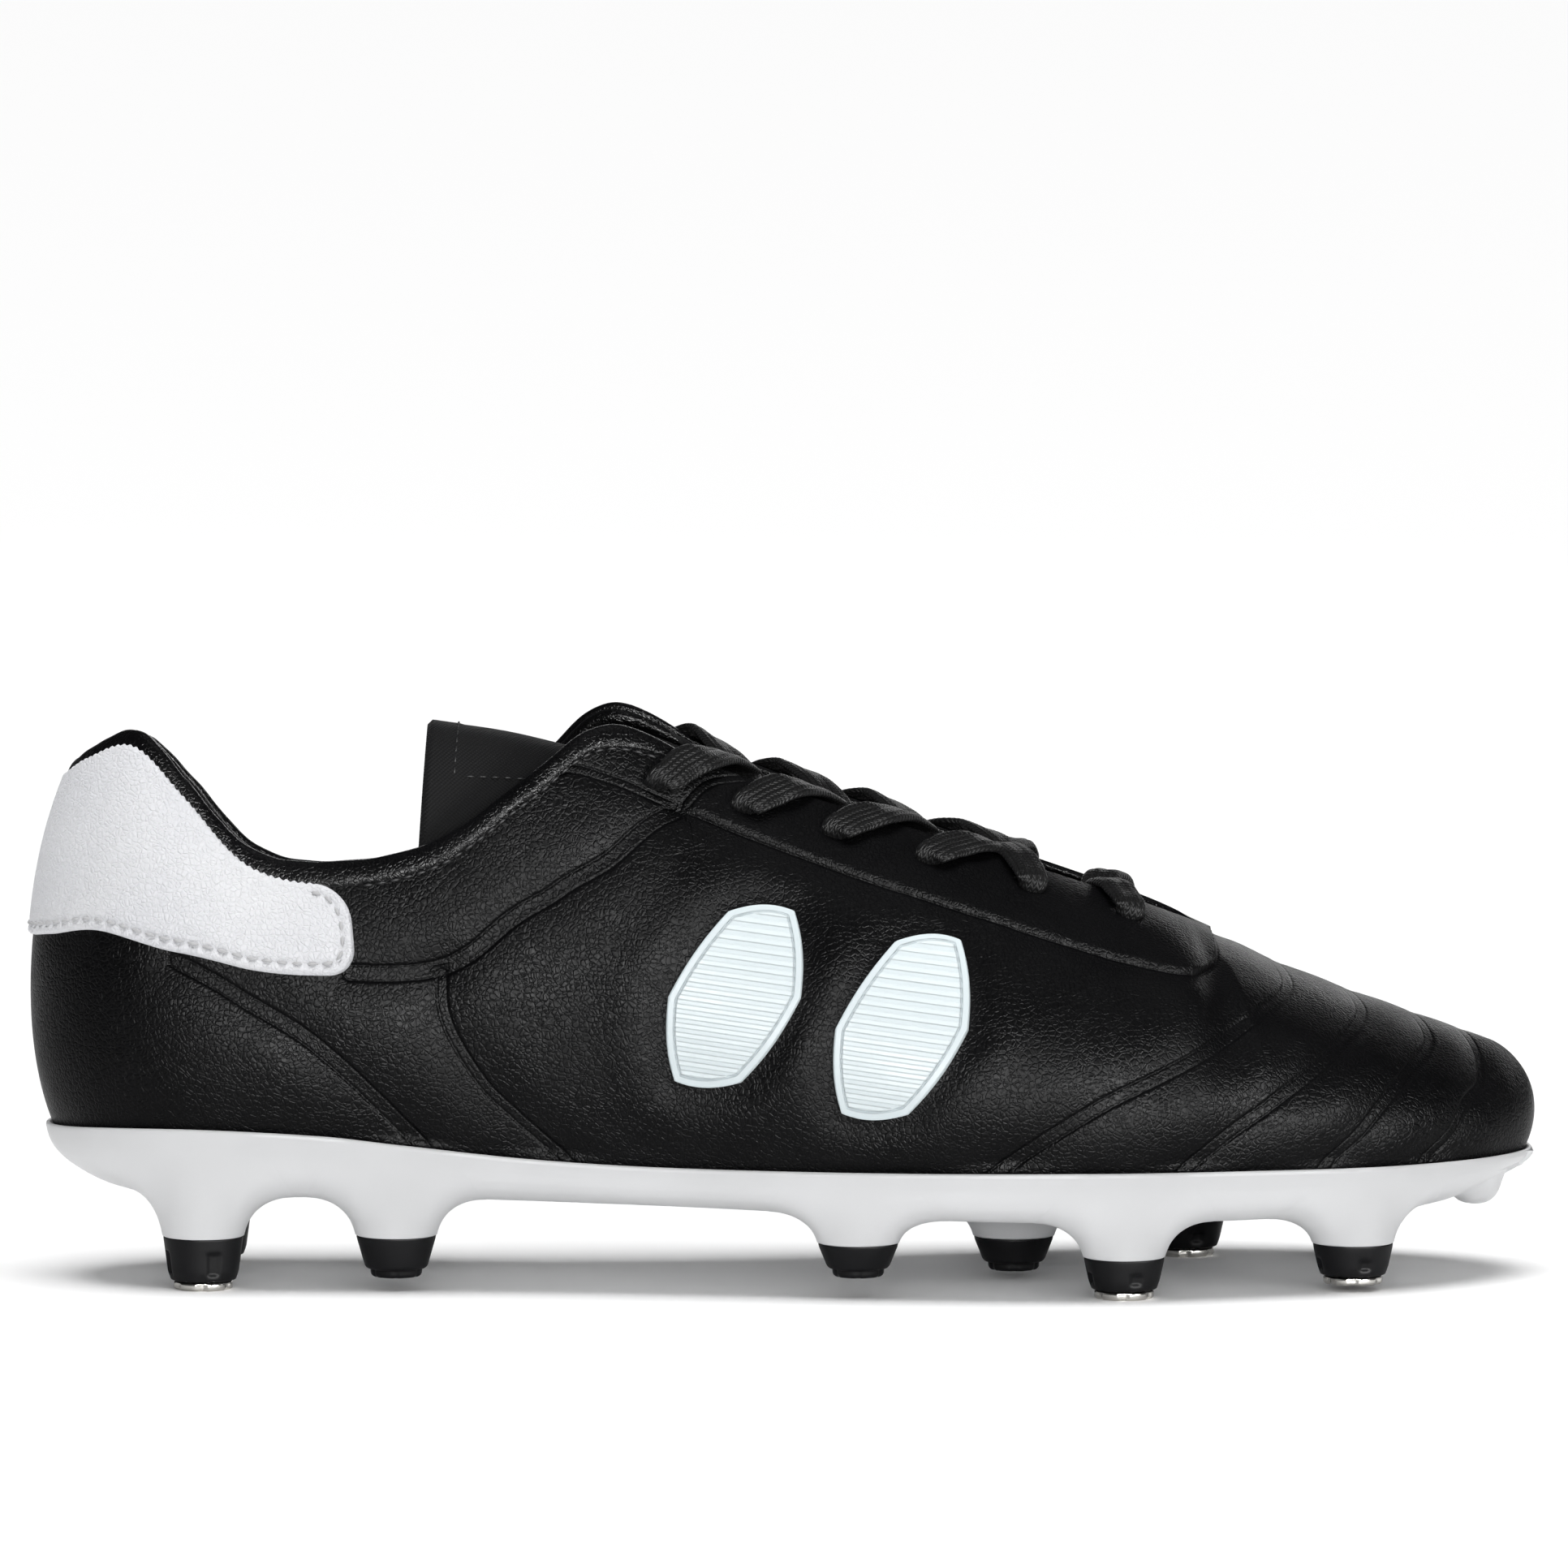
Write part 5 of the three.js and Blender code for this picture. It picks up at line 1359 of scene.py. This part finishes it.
def add_lining():
    def sock(u, v):
        return 4.5 + 0.12 * np.sin(u * 5.1) * np.sin(v * 14)

    def puffed(u, v):
        rise = np.sin(math.pi * np.clip((v - PAD_LOW) / (1 - PAD_LOW), 0, 1)) ** 0.7
        quilt = 1 - 0.22 * bell(v - 0.81, 0.012)
        return 4.4 + 2.3 * rise * (1 - smoothstep(u, 7.0, 8.6)) * quilt

    lining = ("quarter_lining_lateral", "quarter_lining_medial", "vamp_lining")
    inner_sheet("sock_lining", sock, 0.0, 1.0, TOE, 1.8, lining)
    pad = inner_sheet("collar_pad", puffed, PAD_LOW, 0.995, 8.7, 1.0, ("collar_padding",), closed_depth=2.1)


FOOTBED = {"inset": 5.4, "rise": 1.9, "thick": 3.0}
# The footbed's top from its edge inwards: inset from the edge, and height over the level of the rest.
FOOTBED_EDGE = [(0, -1.4), (0.25, -0.2), (0.9, 0.25), (2, 0.2), (4, -0.1), (7, -0.4), (11, -0.6), (16, -0.7)]


def add_footbed():
    """The loose sockliner: a cloth-topped foam bed whose edge turns up along the lining."""
    us = even_stations(0, TOE, 1.6)
    insets, lift = np.array(FOOTBED_EDGE).T
    grids = []
    for side in (LATERAL, MEDIAL):
        foot, xy = inset_plan(side, us, insets + FOOTBED["inset"])
        base = (height_at(FEATHER_HEIGHT, foot[:, 0]) + height_at(UNDERSIDE_HEIGHT, foot[:, 0])) / 2
        z = base[:, None] + FOOTBED["rise"] + FOOTBED["thick"] + 0.5 + lift
        grids.append(np.concatenate([xy, z[..., None]], -1))
    points, faces = bridged(grids, flip=LATERAL)
    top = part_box("sockliner")[1][2] / MM
    points[:, 2] = np.minimum(points[:, 2], top + 0.2)
    add_piece("footbed", points, faces, "footbed", body="insole", replaces=("sockliner",))


# ---- tongue and lace ----------------------------------------------------------------------------------------

# Tongue sections from the free end forward, as x, height on the middle line, half width and edge drop.
TONGUE = [
    (-68, 107.2, 19, 24), (-50, 104, 17.5, 18), (-34, 100.2, 16.5, 13), (-20, 96.8, 16, 11), (-10, 94, 16, 10),
    (16, 85.6, 16, 9), (42, 77.2, 16, 8), (62, 69.4, 14.5, 6.5), (74, 63.4, 12, 5), (82, 60.2, 10, 4),
]
TONGUE_THICK = 2.2
TONGUE_HINGE = -34.5  # the x of the fold
TONGUE_REACH = 23  # from its middle line to its edge, over its face
TAPE = 6.6  # the width of the tape round the tongue's edge


def tongue_at(x, s):
    """The tongue's upper face. s runs across, from -1 on the lateral edge to 1 on the medial one."""
    x, s = np.broadcast_arrays(np.asarray(x, float), np.asarray(s, float))
    centre, half, drop = (height_at([(row[0], row[k]) for row in TONGUE], x) for k in (1, 2, 3))
    middle = 1.2 * np.clip((x - TONGUE_HINGE) / 100, 0, 1)
    return np.stack([x, middle + s * half, centre - drop * (0.35 * s * s + 0.65 * s**4)], -1)


def tongue_face(x, s):
    """Points and normals of the tongue's upper face, and how near the free end each is, from 0 at the fold."""
    p = tongue_at(x, s)
    normals = unit(np.cross(tongue_at(x + TINY, s) - p, tongue_at(x, s + TINY) - p))
    free = np.clip((TONGUE_HINGE - x) / (TONGUE_HINGE - TONGUE[0][0]), 0, 1)
    p[:, 0] -= 1.6 * free * np.abs(s) ** 3
    return p, normals, free


def add_tongue():
    xs, ss = np.linspace(TONGUE[0][0], TONGUE[-1][0], 200), np.linspace(-1, 1, 56)
    x, s = surface_grid(xs, ss)
    p, n, free = tongue_face(x, s)
    half = height_at([(row[0], row[2]) for row in TONGUE], x)
    border = np.minimum((1 - np.abs(s)) * half * 1.35, x - xs[0])
    rounding = TONGUE_THICK / 2 * (1 - np.sqrt(np.clip(1 - (1 - np.clip(border / 1.1, 0, 1)) ** 2, 0, 1)))
    tape = -0.14 * smoothstep(border, TAPE - 0.3, TAPE + 0.3)
    soft = 0.3 * np.sin(x * 0.21) * np.sin(s * 2.2 + 0.6) * free
    upper = p + n * (tape + soft - rounding)[:, None]
    lower = p - n * (TONGUE_THICK - soft - rounding)[:, None]
    count = len(x)
    index = np.arange(count).reshape(len(xs), len(ss))
    rim = np.concatenate([index[0], index[1:, -1], index[-1, -2::-1], index[-2:0:-1, 0]])
    after = np.roll(rim, -1)
    walls = np.stack([rim + count, after + count, after, rim], -1)
    faces = np.concatenate([quads(*index.shape), quads(*index.shape, flip=True) + count, walls])
    piece = add_piece(
        "tongue", np.concatenate([upper, lower]), faces, "tongue", body=None,
        replaces=("tongue_flap", "tongue_base"),
    )
    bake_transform(piece)
    add_tongue_stitches(TAPE - 0.9)


def add_tongue_stitches(inset):
    """A row of stitches across the free end, and one along each edge that stops short of it."""
    end, share = TONGUE[0][0] + inset, 1 - inset / TONGUE_REACH
    rows = {"end": (np.full(50, end), np.linspace(-share, share, 50))}
    for side, label in SIDE_NAMES.items():
        rows[label] = (np.linspace(-30, end + 1.5, 40), np.full(40, side * share))
    for label, (x, s) in rows.items():
        p, n, _ = tongue_face(x, s)
        name = f"tongue_stitches_{label}"
        row = add_stitches(name, p + n * 0.05, n, "black_thread", TONGUE_STITCH, body=None)
        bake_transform(row)


LACE = {"width": 7.2, "neck": 4.0, "thick": 1.4}
LACE_STEPS = 24  # stations between two key points of the lace
LACE_TURN = 76  # steps round the lace's section
# How far along to its neighbour, in rows, each lace lands on the other side.
LACE_LEAN = [1.0, 1.0, 0.95, 0.9, -0.35, -0.35]


def single(function, side, u, v):
    """What upper_point or upper_normal gives at one place."""
    return function(side, np.array([float(u)]), np.array([float(v)]))[0]


def lace_keys(side, row):
    """One crossing, as its points, face normals and widths: up through an eyelet, slanting over the leather's
    edge, across the tongue and down under the other edge."""
    u = EYELET_U[row]
    to = row + (1 if LACE_LEAN[row] > 0 else -1)
    landing = u + abs(LACE_LEAN[row]) * (EYELET_U[to] - u)
    hole, normal = single(upper_point, side, u, EYELET_V), single(upper_normal, side, u, EYELET_V)
    edge = single(upper_point, side, u, 1)
    span = np.linalg.norm(edge - hole)
    across = (edge - hole) / span
    far_edge, far_in = single(upper_point, -side, landing, 1), single(upper_point, -side, landing, 0.9)
    far_normal = single(upper_normal, -side, landing, 0.98)
    over = (row % 2 == 0) == (side < 0)
    lift = 0.8 if over else 0.0

    def on_the_way(share):
        """A point of the throat edge's line, a share of the way along to the landing."""
        return single(upper_point, side, u + share * (landing - u), 1)

    slant = on_the_way(1) - edge
    middle = (on_the_way(0.85) + far_edge) / 2
    middle[2] = max(tongue_at(middle[0], 0.0)[2] + 1.7, middle[2] - 1.0) + lift
    up = np.array([0, 0, 1.0])
    width, neck = LACE["width"], LACE["neck"]
    return [
        (hole - normal * 2.6 - slant * 0.05, -across, neck),
        (hole + normal * 0.3 - across * 0.4 - slant * 0.03, -across + normal * 0.35, neck + 1.0),
        (hole + normal * 1.9 + across * 0.2, normal - across * 0.6 - slant * 0.02, neck + 2.0),
        (hole + normal * 2.5 + across * 1.9 + slant * 0.1, normal, width - 0.6),
        (hole + normal * 2.3 + across * span * 0.6 + slant * 0.24, normal, width),
        (on_the_way(0.46) + normal * 1.9 + up * 0.2, normal + up * 0.4, width),
        (on_the_way(0.66) * 0.74 + far_edge * 0.26 + up * (1.2 + lift), normal * 0.5 + up, width),
        (middle, up, width),
        (on_the_way(0.95) * 0.24 + far_edge * 0.76 - up * 2.6, up, width - 0.6),
        (far_edge - far_normal * 4.5, far_normal + up * 0.3, width - 1.0),
        (far_in - far_normal * 5.0, far_normal, width - 2.0),
    ]


def braid_height(along_it, across_it):
    """The braid's face: columns along the band, each of short threads that slant up to its neighbours."""
    column = np.abs(np.mod(across_it / BRAID["column"] + 0.5, 1) - 0.5) * 2
    slanted = along_it + BRAID["slant"] * column * BRAID["column"] / 2
    thread = np.abs(np.sin(math.pi * slanted / BRAID["pitch"]))
    arch = np.sin(math.pi * np.clip(column, 0, 1) / 2) ** 0.6
    return BRAID["height"] * (arch * (0.45 + 0.55 * thread) - 0.5)


def add_band(name, keys):
    """A flat braided band through key points, with a rounded section and a UV map in millimetres."""
    p = smooth_curve([k[0] for k in keys], LACE_STEPS)
    n = smooth_curve([unit(k[1]) for k in keys], LACE_STEPS)
    width = smooth_curve([[k[2]] for k in keys], LACE_STEPS)[:, 0]
    t = unit(np.gradient(p, axis=0))
    n = unit(n - t * (n * t).sum(1, keepdims=True))
    w = np.cross(t, n)
    angle = np.linspace(0, 2 * math.pi, LACE_TURN + 1)
    c, s = np.cos(angle), np.sin(angle)
    a = np.sign(c) * np.abs(c) ** 0.35
    b = np.sign(s) * np.abs(s) ** 0.75 * (1 - 0.12 * np.cos(angle * 2))
    cup = -0.35 * (a * a)  # the band curls down a little at its edges
    sideways = a * width[:, None] / 2
    braided = braid_height(length_along(p)[:, None], sideways) * b
    ring = (
        p[:, None]
        + w[:, None] * sideways[..., None]
        + n[:, None] * (b * LACE["thick"] / 2 + cup + braided)[..., None]
    )
    piece = add_piece(name, ring.reshape(-1, 3), quads(len(p), len(angle)), "lace")
    along_it = np.repeat(length_along(p), len(angle))
    across_it = (sideways + 20).ravel()
    loops = np.empty(len(piece.data.loops), np.int32)
    piece.data.loops.foreach_get("vertex_index", loops)
    uv = np.stack([along_it[loops], across_it[loops]], -1).astype(np.float32)
    piece.data.uv_layers.new(name="band").data.foreach_set("uv", uv.ravel())
    return piece


def add_laces():
    for side in (LATERAL, MEDIAL):
        for row in range(len(EYELET_U)):
            piece = add_band(f"lace_{SIDE_NAMES[side]}_{row + 1}", lace_keys(side, row))
            if row == 0 and side < 0:
                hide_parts("lace", "aglet_front", "aglet_rear")


add_camera()
add_stage()
add_upper()
add_heel_piece()
add_emblems()
add_binding()
add_lining()
add_footbed()
add_tongue()
add_laces()
add_plate()
add_studs()
dress_cad_nodes()
